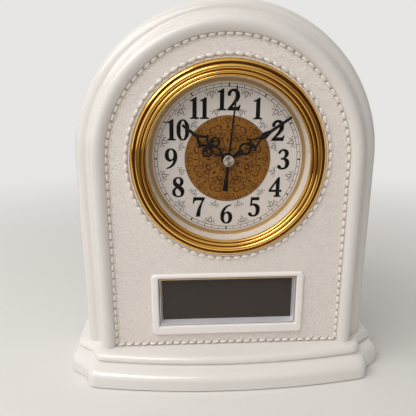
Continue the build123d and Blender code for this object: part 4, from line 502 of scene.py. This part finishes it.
def add_loop(curve, loop, x, y, size):
    """Adds a closed outline, with its lower left corner at x, y."""
    spline = curve.splines.new("BEZIER")
    spline.bezier_points.add(len(loop) - 1)
    spline.use_cyclic_u = True
    for knot, point in zip(spline.bezier_points, loop):
        knot.co = (x + point[0] * size, y + point[1] * size, 0)
        kind = "VECTOR" if len(point) == 3 else "AUTO"
        knot.handle_left_type = kind
        knot.handle_right_type = kind


def make_numerals():
    """The twelve upright black numerals."""
    curve = bpy.data.curves.new("numerals", "CURVE")
    curve.dimensions = "2D"
    curve.fill_mode = "BOTH"
    curve.resolution_u = NUMERAL_STEPS
    curve.extrude = NUMERAL_RISE / 2
    curve.offset = NUMERAL_SWELL
    for hour in range(1, 13):
        turn = math.tau * hour / 12
        radius = NUMERAL_RADIUS.get(hour, NUMERAL_OTHER_RADIUS)
        figures = [figure_loops(f) for f in str(hour)]
        width = sum(w for w, _ in figures) * NUMERAL_HEIGHT + NUMERAL_GAP * (len(figures) - 1)
        x = radius * math.sin(turn) - width / 2
        y = radius * math.cos(turn) - NUMERAL_HEIGHT / 2
        for figure_width, loops in figures:
            for loop in loops:
                add_loop(curve, loop, x, y, NUMERAL_HEIGHT)
            x += figure_width * NUMERAL_HEIGHT + NUMERAL_GAP
    outline = bpy.data.objects.new("numerals_outline", curve)
    bpy.context.scene.collection.objects.link(outline)
    bpy.context.view_layer.update()
    filled = outline.evaluated_get(bpy.context.evaluated_depsgraph_get())
    mesh = bpy.data.meshes.new_from_object(filled)
    bpy.data.objects.remove(outline)
    mesh.transform(front_plane(DIAL_FACE - NUMERAL_RISE / 2, turn=PRINT_TURN))
    place_piece("numerals", mesh, "hand_black", "print_black")


def make_track():
    """Two thin circles with a tick for each minute and a thick one for each hour."""
    drawing = Drawing(TRACK_RISE)
    for radius in (TRACK_OUTER, TRACK_INNER):
        drawing.strip(circle_line(radius), TRACK_LINE, front_plane(DIAL_FACE), closed=True)
    for minute in range(60):
        plane = front_plane(DIAL_FACE, turn=math.tau * minute / 60 + PRINT_TURN)
        width = TICK_WIDTH if minute % 5 else HOUR_TICK_WIDTH
        drawing.strip([(0, TRACK_INNER), (0, TRACK_OUTER)], width, plane)
    drawing.place("minute_track", "hand_black", "print_black")


# ---------------------------------------------------------------- filigree
# A crest between two numerals. Its stem ends in the outer curl; a curl has a radius and turns.
CREST_RISE = 0.03
CREST_STEM = ((0.35, -2.2), (0.9, -0.9), (1.1, 0.1))
CREST_OUTER_CURL = (1.15, 0.8)
CREST_OUTER_WIDTHS = (0.55, 0.3)
CREST_INNER_START = (0.2, 1.0)
CREST_INNER_CURL = (0.9, 0.75)
CREST_INNER_WIDTHS = (0.5, 0.28)
# Its dots: x, y and radius.
CREST_SIDE_DOTS = ((3.9, 1.7, 0.48), (3.1, -0.6, 0.36), (2.1, 2.6, 0.34))
CREST_FOOT_DOT = (0, -2.9, 0.42)
# The crests by the minute track and by the medallion: distance from the hub and size.
CREST_ROWS = ((47.2, 1.0), (34.4, 0.85))

MEDALLION_RADIUS = 31.0
MEDALLION_RISE = 0.04
MEDALLION_EDGE = 0.3
MEDALLION_SECTORS = 8
# One half of a sector of the medallion.
STEM = [(0.3, 5.6), (1.4, 8.6), (3.1, 11.2), (3.4, 14.4), (1.6, 17.4), (0.2, 20.2)]
STEM_WIDTHS = (0.75, 0.5)
# Its scrolls: x, y, heading, radius and turns.
SCROLLS = (
    (1.4, 8.6, 0.5, 1.5, -0.9), (3.4, 14.4, 1.3, 2.3, -1.05), (1.6, 17.4, 1.0, 2.6, -0.95),
    (0.2, 20.2, 0.9, 3.1, -0.9), (4.9, 21.2, 1.9, 2.6, -0.95), (0.2, 25.2, 0.5, 2.6, 0.8),
    (8.0, 23.4, 2.2, 2.4, 0.85), (3.0, 28.2, 0.1, 1.9, -0.7),
)
SCROLL_WIDTHS = (0.9, 0.5)
# Its leaves: x, y, length and turn. A leaf has a width at each share of its length.
LEAVES = (
    (0.0, 12.0, 3.6, 0.0), (5.9, 17.2, 3.0, -0.35), (7.8, 27.0, 2.6, -0.3), (0.0, 21.8, 2.8, 0.0),
)
LEAF_SHARES = (0, 0.3, 0.6, 1.0)
LEAF_WIDTHS = [0.3, 1.3, 1.1, 0.2]
SEEDS = ((2.6, 7.0), (4.4, 18.6), (9.9, 27.6), (5.4, 29.2))
SEED_RADIUS = 0.5


def crest(drawing, place):
    """A small filigree crest of paired curls and dots about the place's origin."""
    for side in (-1, 1):
        stem = [(side * x, y) for x, y in CREST_STEM]
        radius, turns = CREST_OUTER_CURL
        stem += curl(*stem[-1], math.pi / 2, radius, -turns * side)[1:]
        drawing.strip(stem, taper(len(stem), *CREST_OUTER_WIDTHS), place)
        x, y = CREST_INNER_START
        radius, turns = CREST_INNER_CURL
        inner = curl(side * x, y, math.pi / 2, radius, turns * side)
        drawing.strip(inner, taper(len(inner), *CREST_INNER_WIDTHS), place)
        for x, y, radius in CREST_SIDE_DOTS:
            drawing.dot(side * x, y, radius, place)
    drawing.dot(*CREST_FOOT_DOT, place)


def make_crests():
    """Crests between the numerals, by the minute track and by the medallion."""
    drawing = Drawing(CREST_RISE)
    for k in range(12):
        plane = front_plane(DIAL_FACE, turn=math.tau * (k + 0.5) / 12 + PRINT_TURN)
        for distance, size in CREST_ROWS:
            place = Matrix.Translation((0, distance, 0)) @ Matrix.Scale(size, 4)
            crest(drawing, plane @ place)
    drawing.place("dial_filigree", "hand_black", "print_grey")


def scroll_work(drawing, place):
    """Scrolls and leaves that fill half a sector of the medallion."""
    drawing.strip(STEM, taper(len(STEM), *STEM_WIDTHS), place)
    for scroll in SCROLLS:
        line = curl(*scroll)
        drawing.strip(line, taper(len(line), *SCROLL_WIDTHS), place)
    for x, y, length, turn in LEAVES:
        tip = (math.sin(-turn) * length, math.cos(turn) * length)
        leaf = [(x + tip[0] * share, y + tip[1] * share) for share in LEAF_SHARES]
        drawing.strip(leaf, LEAF_WIDTHS, place)
    for x, y in SEEDS:
        drawing.dot(x, y, SEED_RADIUS, place)


def make_medallion():
    """The medallion's damask scrolls, mirrored in each sector, and its thin dark edge."""
    drawing = Drawing(MEDALLION_RISE)
    for k in range(MEDALLION_SECTORS):
        plane = front_plane(MEDALLION_FACE, turn=math.tau * k / MEDALLION_SECTORS)
        scroll_work(drawing, plane)
        scroll_work(drawing, plane @ Matrix.Diagonal((-1, 1, 1, 1)))
    drawing.place("medallion_filigree", "bronze_foil", "bronze_dark")
    edge = Drawing(MEDALLION_RISE)
    line = circle_line(MEDALLION_RADIUS - MEDALLION_EDGE / 2)
    edge.strip(line, MEDALLION_EDGE, front_plane(MEDALLION_FACE), closed=True)
    edge.place("medallion_edge", "bronze_foil", "print_black")


# ---------------------------------------------------------------- rope trims
# A bead or nub is as long, as wide and as high as its size says.
BEAD_RINGS = 11
BEAD_SIDES = 12
BEAD_SINK = 0.35
BEAD_BLUNTNESS = 0.5
BEAD_SHEAR = 0.5
ROPE_PITCH = 6.0
ROPE_OUT = 0.3
BEAD_SIZE = (5.0, 2.5, 1.9)
BEAD_SLANT = 0.10
NUB_SIZE = (1.5, 1.3, 0.9)
NUB_SLANT = -0.5
NUB_INSET = 1.8
DIAL_BEADS = 70
DIAL_BEAD_OUT = 0.5
DIAL_BEAD_SIZE = (5.2, 2.9, 1.7)
DIAL_BEAD_SLANT = 0.22
DIAL_NUB_SIZE = (2.2, 1.3, 1.2)
DIAL_NUB_SLANT = 0.3
DIAL_NUB_INSET = 1.6
# The strip of painted shade under each rope's beads: its width, and how far it rises.
ROPE_SHADE_WIDTH = 2.0
ROPE_SHADE_RISE = 0.3
RAIL_WIDTH = 0.5
RAIL_RISE = 0.9
ARCH_STEPS = 96


def add_bead(drawing, x, z, along, size, shear=0.0):
    """A blunt bead on the panel, its long axis in the direction along. Its lowest part is sunk."""
    length, width, height = size
    ahead = Vector((math.cos(along), 0, math.sin(along)))
    side = Vector((-math.sin(along), 0, math.cos(along)))
    middle = Vector((x, PANEL_Y + BEAD_SINK, z))
    points = []
    for i in range(BEAD_RINGS):
        t = math.pi * i / (BEAD_RINGS - 1)
        reach = -math.cos(t) * length / 2
        girth = max(math.sin(t), 0.0) ** BEAD_BLUNTNESS
        for j in range(BEAD_SIDES):
            a = math.pi * j / (BEAD_SIDES - 1)
            across = math.cos(a) * width / 2 * girth
            out = Vector((0, -math.sin(a) * (height + BEAD_SINK) * girth, 0))
            points.append(middle + ahead * (reach + across * shear) + side * across + out)
    drawing.add(points, grid_faces(BEAD_RINGS, BEAD_SIDES))


def rope_line():
    """Points and directions along the panel's edge, clockwise from the lower left corner."""
    half = ROPE_HALF_WIDTH + ROPE_OUT
    side = ARCH_Z - ROPE_BOTTOM_Z
    rows = round(side / ROPE_PITCH)
    bends = round(math.pi * half / ROPE_PITCH)
    columns = round(2 * half / ROPE_PITCH)
    line = []
    for k in range(rows):
        line.append((-half, ROPE_BOTTOM_Z + side * (k + 0.5) / rows, math.pi / 2))
    for k in range(bends):
        turn = math.pi * (k + 0.5) / bends
        x, z = -half * math.cos(turn), ARCH_Z + half * math.sin(turn)
        line.append((x, z, math.pi / 2 - turn))
    for k in range(rows):
        line.append((half, ARCH_Z - side * (k + 0.5) / rows, -math.pi / 2))
    for k in range(columns):
        line.append((half - 2 * half * (k + 0.5) / columns, ROPE_BOTTOM_Z, -math.pi))
    return line


def arch_line(half):
    """The outline of an arch over the rope's foot, clockwise from its lower left corner."""
    turns = [math.pi * k / ARCH_STEPS for k in range(ARCH_STEPS + 1)]
    bend = [(-half * math.cos(t), ARCH_Z + half * math.sin(t)) for t in turns]
    return [(-half, ROPE_BOTTOM_Z)] + bend + [(half, ROPE_BOTTOM_Z)]


def make_panel_rope():
    """The beads round the panel, with a small nub inside each gap between two."""
    drawing = Drawing()
    for x, z, along in rope_line():
        add_bead(drawing, x, z, along - BEAD_SLANT, BEAD_SIZE, BEAD_SHEAR)
        back = Vector((-math.cos(along), -math.sin(along))) * ROPE_PITCH / 2
        inward = Vector((math.sin(along), -math.cos(along))) * NUB_INSET
        place = Vector((x, z)) + back + inward
        add_bead(drawing, place.x, place.y, along - NUB_SLANT, NUB_SIZE)
    drawing.place("panel_rope_beads", "rope_white", stands_for="panel_rope", smooth=True)


def make_dial_rope():
    """The beads round the bezel, with a small nub inside each gap between two."""
    drawing = Drawing()
    # Share of the pitch, radius, slant, size and shear: of the bead, then of the nub.
    pair = (
        (0, DIAL_ROPE_RADIUS + DIAL_BEAD_OUT, DIAL_BEAD_SLANT, DIAL_BEAD_SIZE, BEAD_SHEAR),
        (0.5, DIAL_ROPE_RADIUS - DIAL_NUB_INSET, DIAL_NUB_SLANT, DIAL_NUB_SIZE, 0.0),
    )
    for k in range(DIAL_BEADS):
        for share, radius, slant, size, shear in pair:
            turn = math.tau * (k + share) / DIAL_BEADS
            x, z = radius * math.sin(turn), DIAL_Z + radius * math.cos(turn)
            add_bead(drawing, x, z, -turn - slant, size, shear)
    drawing.place("dial_rope_beads", "rope_white", stands_for="dial_rope", smooth=True)


def make_rope_beds():
    """A strip of painted shade under each rope, dark between the beads, and the thin rail along its
    outer or inner side.
    """
    panel_plane = front_plane(PANEL_Y, z=0.0)
    dial_plane = front_plane(PANEL_Y)
    # Painted shade: a dark strip under the beads, so the gaps between them read as shaded.
    groove = Drawing(ROPE_SHADE_RISE)
    groove.strip(arch_line(ROPE_HALF_WIDTH + ROPE_OUT), ROPE_SHADE_WIDTH, panel_plane, closed=True)
    groove.strip(circle_line(DIAL_ROPE_RADIUS), ROPE_SHADE_WIDTH, dial_plane, closed=True)
    groove.place("rope_painted_shade", "rope_white", "painted_gap_shade")
    rail = Drawing(RAIL_RISE)
    rail.strip(arch_line(BAND_INNER - RAIL_WIDTH / 2), RAIL_WIDTH, panel_plane)
    rail.strip(circle_line(BEZEL_RADIUS + RAIL_WIDTH / 2), RAIL_WIDTH, dial_plane, closed=True)
    rail.place("rope_rails", "rope_white")


# ---------------------------------------------------------------- bezel
# The floor of each groove: its radius, the width of the painted shade in it and how far it stands
# proud of the panel.
BEZEL_GROOVES = ((66.2, 1.2, 1.2), (61.9, 0.5, 2.2), (59.2, 0.4, 2.5))
# The ring inside each groove: its outer and inner edge, and how far its crest is above them.
BEZEL_RINGS = ((65.45, 62.3, 1.3), (61.5, 59.5, 1.1), (58.9, 57.6, 0.5))
RING_EDGE_PROUD = 2.9
GROOVE_WALL = 0.1
GROOVE_SHADE_RISE = 0.05
# The rim outside the first groove, from its edge to its top, as radius and distance from the panel.
RIM_EDGE = (BEZEL_RADIUS, 0.4)
RIM_TOP = (67.3, 2.5)
RIM_SWELL = 0.21
LENS_SEAT_PROUD = 0.5
SKIRT_INNER = 59.8
SKIRT_OUTER = 61.6
BEZEL_TURNS = 240
SWELL_STEPS = 12


def swelling(start, end, rise):
    """Points of an arc that swells by rise, in radius and distance from the panel."""
    start, end = Vector(start), Vector(end)
    half = (end - start).length / 2
    size = (half ** 2 + rise ** 2) / (2 * rise)
    along = (end - start).normalized()
    out = Vector((along.y, -along.x))
    middle = (start + end) / 2 + out * (rise - size)
    reach = math.atan2(half, size - rise)
    turns = [reach * (2 * k / SWELL_STEPS - 1) for k in range(SWELL_STEPS + 1)]
    return [middle + (along * math.sin(t) + out * math.cos(t)) * size for t in turns]


def make_bezel():
    """The bezel's smooth rings, lip and skirt, turned about the dial's axis."""
    back = PANEL_Y - box_of("bezel")[1].y
    stretches = [[(BEZEL_RADIUS, 0), RIM_EDGE], swelling(RIM_EDGE, RIM_TOP, RIM_SWELL)]
    start = RIM_TOP
    for (radius, _, proud), (outer, inner, rise) in zip(BEZEL_GROOVES, BEZEL_RINGS):
        near = (2 * radius - outer - GROOVE_WALL, proud)
        far = (outer + GROOVE_WALL, proud)
        edge = (outer, RING_EDGE_PROUD)
        end = (inner, RING_EDGE_PROUD)
        stretches += [[start, near], [near, far], [far, edge], swelling(edge, end, rise)]
        start = end
    corners = [
        start, (start[0], LENS_SEAT_PROUD), (SKIRT_INNER, LENS_SEAT_PROUD), (SKIRT_INNER, back),
        (SKIRT_OUTER, back), (SKIRT_OUTER, 0), (BEZEL_RADIUS, 0),
    ]
    stretches += zip(corners, corners[1:])
    drawing = Drawing()
    for stretch in stretches:
        rings = [(circle_line(radius, BEZEL_TURNS), proud) for radius, proud in stretch]
        points = [(x, y, proud) for ring, proud in rings for x, y in ring]
        faces = grid_faces(len(rings), BEZEL_TURNS, closed=True)
        drawing.add(points, faces, front_plane(PANEL_Y))
    drawing.place("bezel_rings", "gilt_plastic", stands_for="bezel", smooth=True)


def make_bezel_grooves():
    """Painted shade: dark gilt strips in the grooves between the bezel's rings, where the creases
    fall in shade.
    """
    drawing = Drawing(GROOVE_SHADE_RISE)
    for radius, width, proud in BEZEL_GROOVES:
        drawing.strip(circle_line(radius), width, front_plane(PANEL_Y - proud), closed=True)
    drawing.place("bezel_groove_painted_shade", "gilt_plastic", "gilt_painted_shade")


# ---------------------------------------------------------------- display and back
LINE_RISE = 0.05
GAP_SHADE_WIDTH = 0.8
GLEAM_WIDTH = 0.8
LIP_INSET = 0.3
# How far the painted reflection, a gilt gleam, runs down the left side of the display, and down the
# right side.
GLEAM_DROP = 13.0
GLEAM_SHORT_DROP = GLEAM_DROP / 3
MARK_RISE = 0.4
MARK_WIDTH = 0.6
MARK_LIFT = 2.8
MARK_SIZE = 2.0
MARK_RING_STEPS = 24


def make_display_lines():
    """Painted shade as a dark line round the display's silver frame, and a painted reflection as a
    gilt gleam along that frame's top.
    """
    low, high = box_of("lcd_surround")
    out = GAP_SHADE_WIDTH / 2
    left, right, bottom, top = low.x - out, high.x + out, low.z - out, high.z + out
    # Painted shade: a dark line round the silver frame, where its gap falls in shade.
    gap = Drawing(LINE_RISE)
    line = [(left, bottom), (left, top), (right, top), (right, bottom)]
    gap.strip(line, GAP_SHADE_WIDTH, front_plane(PANEL_Y, z=0.0), closed=True)
    gap.place("display_gap_painted_shade", "rope_white", "painted_gap_shade")
    # Painted reflection: a gilt gleam along the frame's top, reaching further down the left side
    # than the right.
    left, right, top = low.x + LIP_INSET, high.x - LIP_INSET, high.z - LIP_INSET
    edge = Drawing(LINE_RISE)
    line = [(left, top - GLEAM_DROP), (left, top), (right, top), (right, top - GLEAM_SHORT_DROP)]
    edge.strip(line, GLEAM_WIDTH, front_plane(low.y, z=0.0))
    edge.place("display_painted_gleam", "silver_plastic", "gilt_brass")


def make_back_marks():
    """A raised sign above each button on the back: a ring, an arrow up, one down and a bar."""
    size = MARK_SIZE
    signs = (
        (circle_line(size, MARK_RING_STEPS), True),
        ([(-size, -size / 2), (0, size), (size, -size / 2)], True),
        ([(-size, size / 2), (0, -size), (size, size / 2)], True),
        ([(-size, 0), (size, 0)], False),
    )
    back = box_of("rear_cover")[1].y
    outward = Matrix(((-1, 0, 0), (0, 0, 1), (0, 1, 0))).to_4x4()
    drawing = Drawing(MARK_RISE)
    for number, (line, closed) in enumerate(signs, 1):
        low, high = box_of(f"button_{number}")
        place = Matrix.Translation(((low.x + high.x) / 2, back, high.z + MARK_LIFT))
        drawing.strip(line, MARK_WIDTH, TO_METRES @ place @ outward, closed)
    drawing.place("back_marks", "back_white", "button_grey")


# ---------------------------------------------------------------- plinth
PLINTH_LOW, PLINTH_HIGH = box_of("plinth")
PLINTH_WALL = 4.0
PLINTH_HOLLOW = 2.2
BOW = 10.6
BOW_STEPS = 24
ROUND_STEPS = 8
# The corners of the plan: in from the side, back from the front, and their radius.
PLAN_CORNER = (17.2, BOW, 9.0)
PLAN_WAIST = (13.1, 23.8, 8.0)
PLAN_TIP = (0.0, 35.0, 4.5)
# How far the upper slab stands in from the lower block at the sides and in front. The neck under
# it stands in further, and flares by a share of that at half its height.
SLAB_IN = (3.4, 9.9)
NECK_INSET = 1.2
NECK_FLARE = 0.6
LOWER_EDGE_Z = 7.4
OVOLO_TOP_Z = 14.6
NECK_Z = 15.6
TOP_ROUND = 4.6
# The profile's round parts, in degrees, and the steps of its smooth line.
OVOLO_SWEEP = 60
TOP_SWEEP = 90
SWEEP_STEP = 15
PROFILE_STEPS = 4


def rounded(points):
    """A line of points with an arc in place of each one that carries a radius."""
    line = []
    for i, (x, y, radius) in enumerate(points):
        corner = Vector((x, y, 0))
        if not radius:
            line.append(corner)
            continue
        before = (Vector((*points[i - 1][:2], 0)) - corner).normalized()
        after = (Vector((*points[i + 1][:2], 0)) - corner).normalized()
        half = before.angle(after) / 2
        middle = corner + (before + after).normalized() * radius / math.sin(half)
        start = corner + before * radius / math.tan(half) - middle
        end = corner + after * radius / math.tan(half) - middle
        shares = [k / ROUND_STEPS for k in range(ROUND_STEPS + 1)]
        line += [middle + start.slerp(end, share) * radius for share in shares]
    return line


def plinth_outline(side_in, front_in, z, back_in=0.0):
    """The plan of the sides and the bowed front at one height, from back left to back right."""
    half = PLINTH_HIGH.x - side_in
    front = PLINTH_LOW.y + front_in
    plan = (PLAN_CORNER, PLAN_WAIST, PLAN_TIP)
    right = [(half - inward, front + back, radius) for inward, back, radius in plan]
    right.append((half, PLINTH_HIGH.y - back_in, 0))
    chord = right[0][0]
    bow_radius = (chord ** 2 + BOW ** 2) / (2 * BOW)
    bow = []
    for k in range(1, BOW_STEPS):
        x = chord * (2 * k / BOW_STEPS - 1)
        bow.append((x, front + bow_radius - math.sqrt(bow_radius ** 2 - x ** 2), 0))
    left = [(-x, y, radius) for x, y, radius in reversed(right)]
    return [Vector((p.x, p.y, z)) for p in rounded(left + bow + right)]


def smooth_line(knots):
    """A smooth line through points, as a Catmull-Rom spline."""
    line = []
    for i in range(len(knots) - 1):
        here, there = knots[i], knots[i + 1]
        before = knots[i - 1] if i else here
        after = knots[i + 2] if i + 2 < len(knots) else there
        for k in range(PROFILE_STEPS):
            t = k / PROFILE_STEPS
            bend = (there - before) * t + (2 * before - 5 * here + 4 * there - after) * t ** 2
            line.append(here + (bend + (3 * here - before - 3 * there + after) * t ** 3) / 2)
    return line + [knots[-1]]


def plinth_profile():
    """How far the sides and the front stand in at each height, from the floor up."""
    neck_in = [inset + NECK_INSET for inset in SLAB_IN]
    ovolo_rise = OVOLO_TOP_Z - LOWER_EDGE_Z
    slab_z = PLINTH_HIGH.z - TOP_ROUND
    knots = [(0, 0, PLINTH_LOW.z), (0, 0, (PLINTH_LOW.z + LOWER_EDGE_Z) / 2)]
    for degrees in range(0, OVOLO_SWEEP + 1, SWEEP_STEP):
        turn = math.radians(degrees)
        insets = [inset * (1 - math.cos(turn)) for inset in neck_in]
        knots.append((*insets, LOWER_EDGE_Z + ovolo_rise * math.sin(turn)))
    knots.append((*neck_in, NECK_Z))
    flare = [inset - NECK_INSET * NECK_FLARE for inset in neck_in]
    knots.append((*flare, (NECK_Z + slab_z) / 2))
    for degrees in range(0, TOP_SWEEP + 1, SWEEP_STEP):
        turn = math.radians(degrees)
        insets = [inset + TOP_ROUND * (1 - math.cos(turn)) for inset in SLAB_IN]
        knots.append((*insets, slab_z + TOP_ROUND * math.sin(turn)))
    return smooth_line([Vector(knot) for knot in knots])


def make_plinth():
    """The plinth's soft moulding: sides and front, deck, flat back and the rim underneath."""
    # The smooth line overshoots the block's face by a hair, so the insets stop at zero.
    profile = [(max(side, 0), max(front, 0), z) for side, front, z in plinth_profile()]
    rows = [plinth_outline(*knot) for knot in profile]
    columns = len(rows[0])
    deck = tuple(range((len(rows) - 1) * columns, len(rows) * columns))
    drawing = Drawing()
    drawing.add([p for row in rows for p in row], grid_faces(len(rows), columns) + [deck])
    drawing.add([p for row in rows for p in (row[-1], row[0])], grid_faces(len(rows), 2))
    inner = plinth_outline(PLINTH_WALL, PLINTH_WALL, PLINTH_LOW.z, PLINTH_WALL)
    lid = [p + Vector((0, 0, PLINTH_HOLLOW)) for p in inner]
    rim = grid_faces(3, columns, closed=True)
    drawing.add(lid + inner + rows[0], rim + [tuple(range(columns))])
    drawing.place("plinth_moulding", "plinth_white", stands_for="plinth", smooth=True)


# ---------------------------------------------------------------- light and floor
# Lengths are in metres here.
BACKGROUND = (0.80, 0.79, 0.775)
FLOOR_HALF = 12.0
# As in PLAIN_SURFACES.
FLOOR_SURFACE = ((0.77, 0.758, 0.735), 0.7, 0.01, 3, 40, 200)
# The floor fades to the background between these distances from the clock.
FLOOR_FADE = (0.2, 0.9)
# In gloss, the floor turns to one dull colour between these two y, in front of the clock.
GLOSS_FADE = (-0.1, -0.4)
FLOOR_GLOSS = (0.17, 0.13, 0.08)
# The soft light and what gloss shows, by how far a direction leans towards each aim, from 0 to 1.
SOFT_AIM = (-0.35, -0.15, 1.0)
SOFT_STRENGTH = 0.54
SOFT_STOPS = (
    (0.15, (0.12, 0.10, 0.085)),
    (0.5, (0.42, 0.39, 0.36)),
    (1.0, (1.0, 0.98, 0.96)),
)
ROOM_AIM = (-0.7, -0.3, 0.5)
ROOM_STOPS = (
    (0.12, (0.03, 0.014, 0.006)),
    (0.38, (0.06, 0.03, 0.012)),
    (0.54, (0.24, 0.18, 0.11)),
    (0.70, (0.58, 0.54, 0.45)),
    (0.88, (0.95, 0.93, 0.90)),
)
# Gloss shows the pale background where it leans back this far.
BACKDROP_AIM = (0.0, 1.0, 0.0)
BACKDROP_FADE = (0.6, 0.8)
LAMP_PLACE = (-0.62, -0.5, 1.0)
LAMP_TARGET = (0.0, 0.0, 0.12)
LAMP_SIZE = (1.4, 0.55)
LAMP_WATTS = 11.3
LAMP_COLOUR = (1.0, 0.98, 0.95)


def ray_kinds(tree):
    """Where something is seen, straight on or through the lens, and where it shows in gloss."""
    path = tree.nodes.new("ShaderNodeLightPath").outputs
    seen = combine(tree, "MAXIMUM", path["Is Camera Ray"], path["Is Transmission Ray"])
    return seen, path["Is Glossy Ray"]


def lean(tree, aim):
    """How far a world direction leans towards aim: 0 away from it, 1 along it."""
    direction = tree.nodes.new("ShaderNodeTexCoord").outputs["Generated"]
    dot = tree.nodes.new("ShaderNodeVectorMath")
    dot.operation = "DOT_PRODUCT"
    tree.links.new(direction, dot.inputs[0])
    dot.inputs[1].default_value = Vector(aim).normalized()
    return map_range(tree, dot.outputs["Value"], (-1.0, 1.0))


def mix_shaders(tree, share, first, second):
    """Goes from the first shader to the second as share goes from 0 to 1."""
    mix = tree.nodes.new("ShaderNodeMixShader")
    tree.links.new(share, mix.inputs["Fac"])
    tree.links.new(first, mix.inputs[1])
    tree.links.new(second, mix.inputs[2])
    return mix.outputs["Shader"]


def glow(tree, colour):
    """A plain glow of one colour."""
    node = tree.nodes.new("ShaderNodeEmission")
    node.inputs["Color"].default_value = (*colour, 1.0)
    return node.outputs["Emission"]


def sky(tree, aim, stops, strength=1.0):
    """A background whose colour depends on how far a direction leans towards aim."""
    node = tree.nodes.new("ShaderNodeBackground")
    tree.links.new(colour_stops(tree, lean(tree, aim), stops), node.inputs["Color"])
    node.inputs["Strength"].default_value = strength
    return node.outputs["Background"]


def make_floor():
    """A pale floor that fades to the background. In gloss it ends in front of the clock."""
    mesh = bpy.data.meshes.new("floor")
    h = FLOOR_HALF
    mesh.from_pydata([(-h, -h, 0), (h, -h, 0), (h, h, 0), (-h, h, 0)], [], [(0, 1, 2, 3)])
    floor = bpy.data.objects.new("floor", mesh)
    bpy.context.scene.collection.objects.link(floor)
    material = moulded("floor_pale", *FLOOR_SURFACE)
    mesh.materials.append(material)
    tree = material.node_tree
    place = tree.nodes.new("ShaderNodeTexCoord").outputs["Object"]
    distance = tree.nodes.new("ShaderNodeVectorMath")
    distance.operation = "LENGTH"
    tree.links.new(place, distance.inputs[0])
    far = map_range(tree, distance.outputs["Value"], FLOOR_FADE, kind="SMOOTHSTEP")
    split = tree.nodes.new("ShaderNodeSeparateXYZ")
    tree.links.new(place, split.inputs["Vector"])
    in_front = map_range(tree, split.outputs["Y"], GLOSS_FADE, kind="SMOOTHSTEP")
    seen, glossy = ray_kinds(tree)
    pale = combine(tree, "MULTIPLY", seen, far)
    dull = combine(tree, "MULTIPLY", glossy, in_front)
    plain = tree.nodes["Principled BSDF"].outputs["BSDF"]
    shader = mix_shaders(tree, pale, plain, glow(tree, BACKGROUND))
    shader = mix_shaders(tree, dull, shader, glow(tree, FLOOR_GLOSS))
    tree.links.new(shader, tree.nodes["Material Output"].inputs["Surface"])


def make_world():
    """Pale where it is seen, and in gloss behind the clock; else a room, bright above left."""
    world = bpy.data.worlds.new("studio")
    world.use_nodes = True
    tree = world.node_tree
    tree.nodes.clear()
    seen, glossy = ray_kinds(tree)
    soft = sky(tree, SOFT_AIM, SOFT_STOPS, SOFT_STRENGTH)
    room = sky(tree, ROOM_AIM, ROOM_STOPS)
    shader = mix_shaders(tree, glossy, soft, room)
    behind = map_range(tree, lean(tree, BACKDROP_AIM), BACKDROP_FADE, kind="SMOOTHSTEP")
    mirrored = combine(tree, "MULTIPLY", glossy, behind)
    pale = combine(tree, "MAXIMUM", seen, mirrored)
    shader = mix_shaders(tree, pale, shader, glow(tree, BACKGROUND))
    out = tree.nodes.new("ShaderNodeOutputWorld")
    tree.links.new(shader, out.inputs["Surface"])
    bpy.context.scene.world = world


def make_lamp():
    """A soft oblong lamp above on the left, with its long side level."""
    data = bpy.data.lights.new("key", "AREA")
    data.shape = "RECTANGLE"
    data.size, data.size_y = LAMP_SIZE
    data.energy = LAMP_WATTS
    data.color = LAMP_COLOUR
    lamp = bpy.data.objects.new("key", data)
    aim = Vector(LAMP_TARGET) - Vector(LAMP_PLACE)
    turn = aim.to_track_quat("-Z", "Y").to_matrix().to_4x4()
    lamp.matrix_world = Matrix.Translation(LAMP_PLACE) @ turn
    bpy.context.scene.collection.objects.link(lamp)


make_camera()
dress_nodes()
make_numerals()
make_track()
make_crests()
make_medallion()
make_panel_rope()
make_dial_rope()
make_rope_beds()
make_bezel()
make_bezel_grooves()
make_display_lines()
make_back_marks()
make_plinth()
make_floor()
make_world()
make_lamp()
bpy.context.scene.view_settings.view_transform = "Standard"
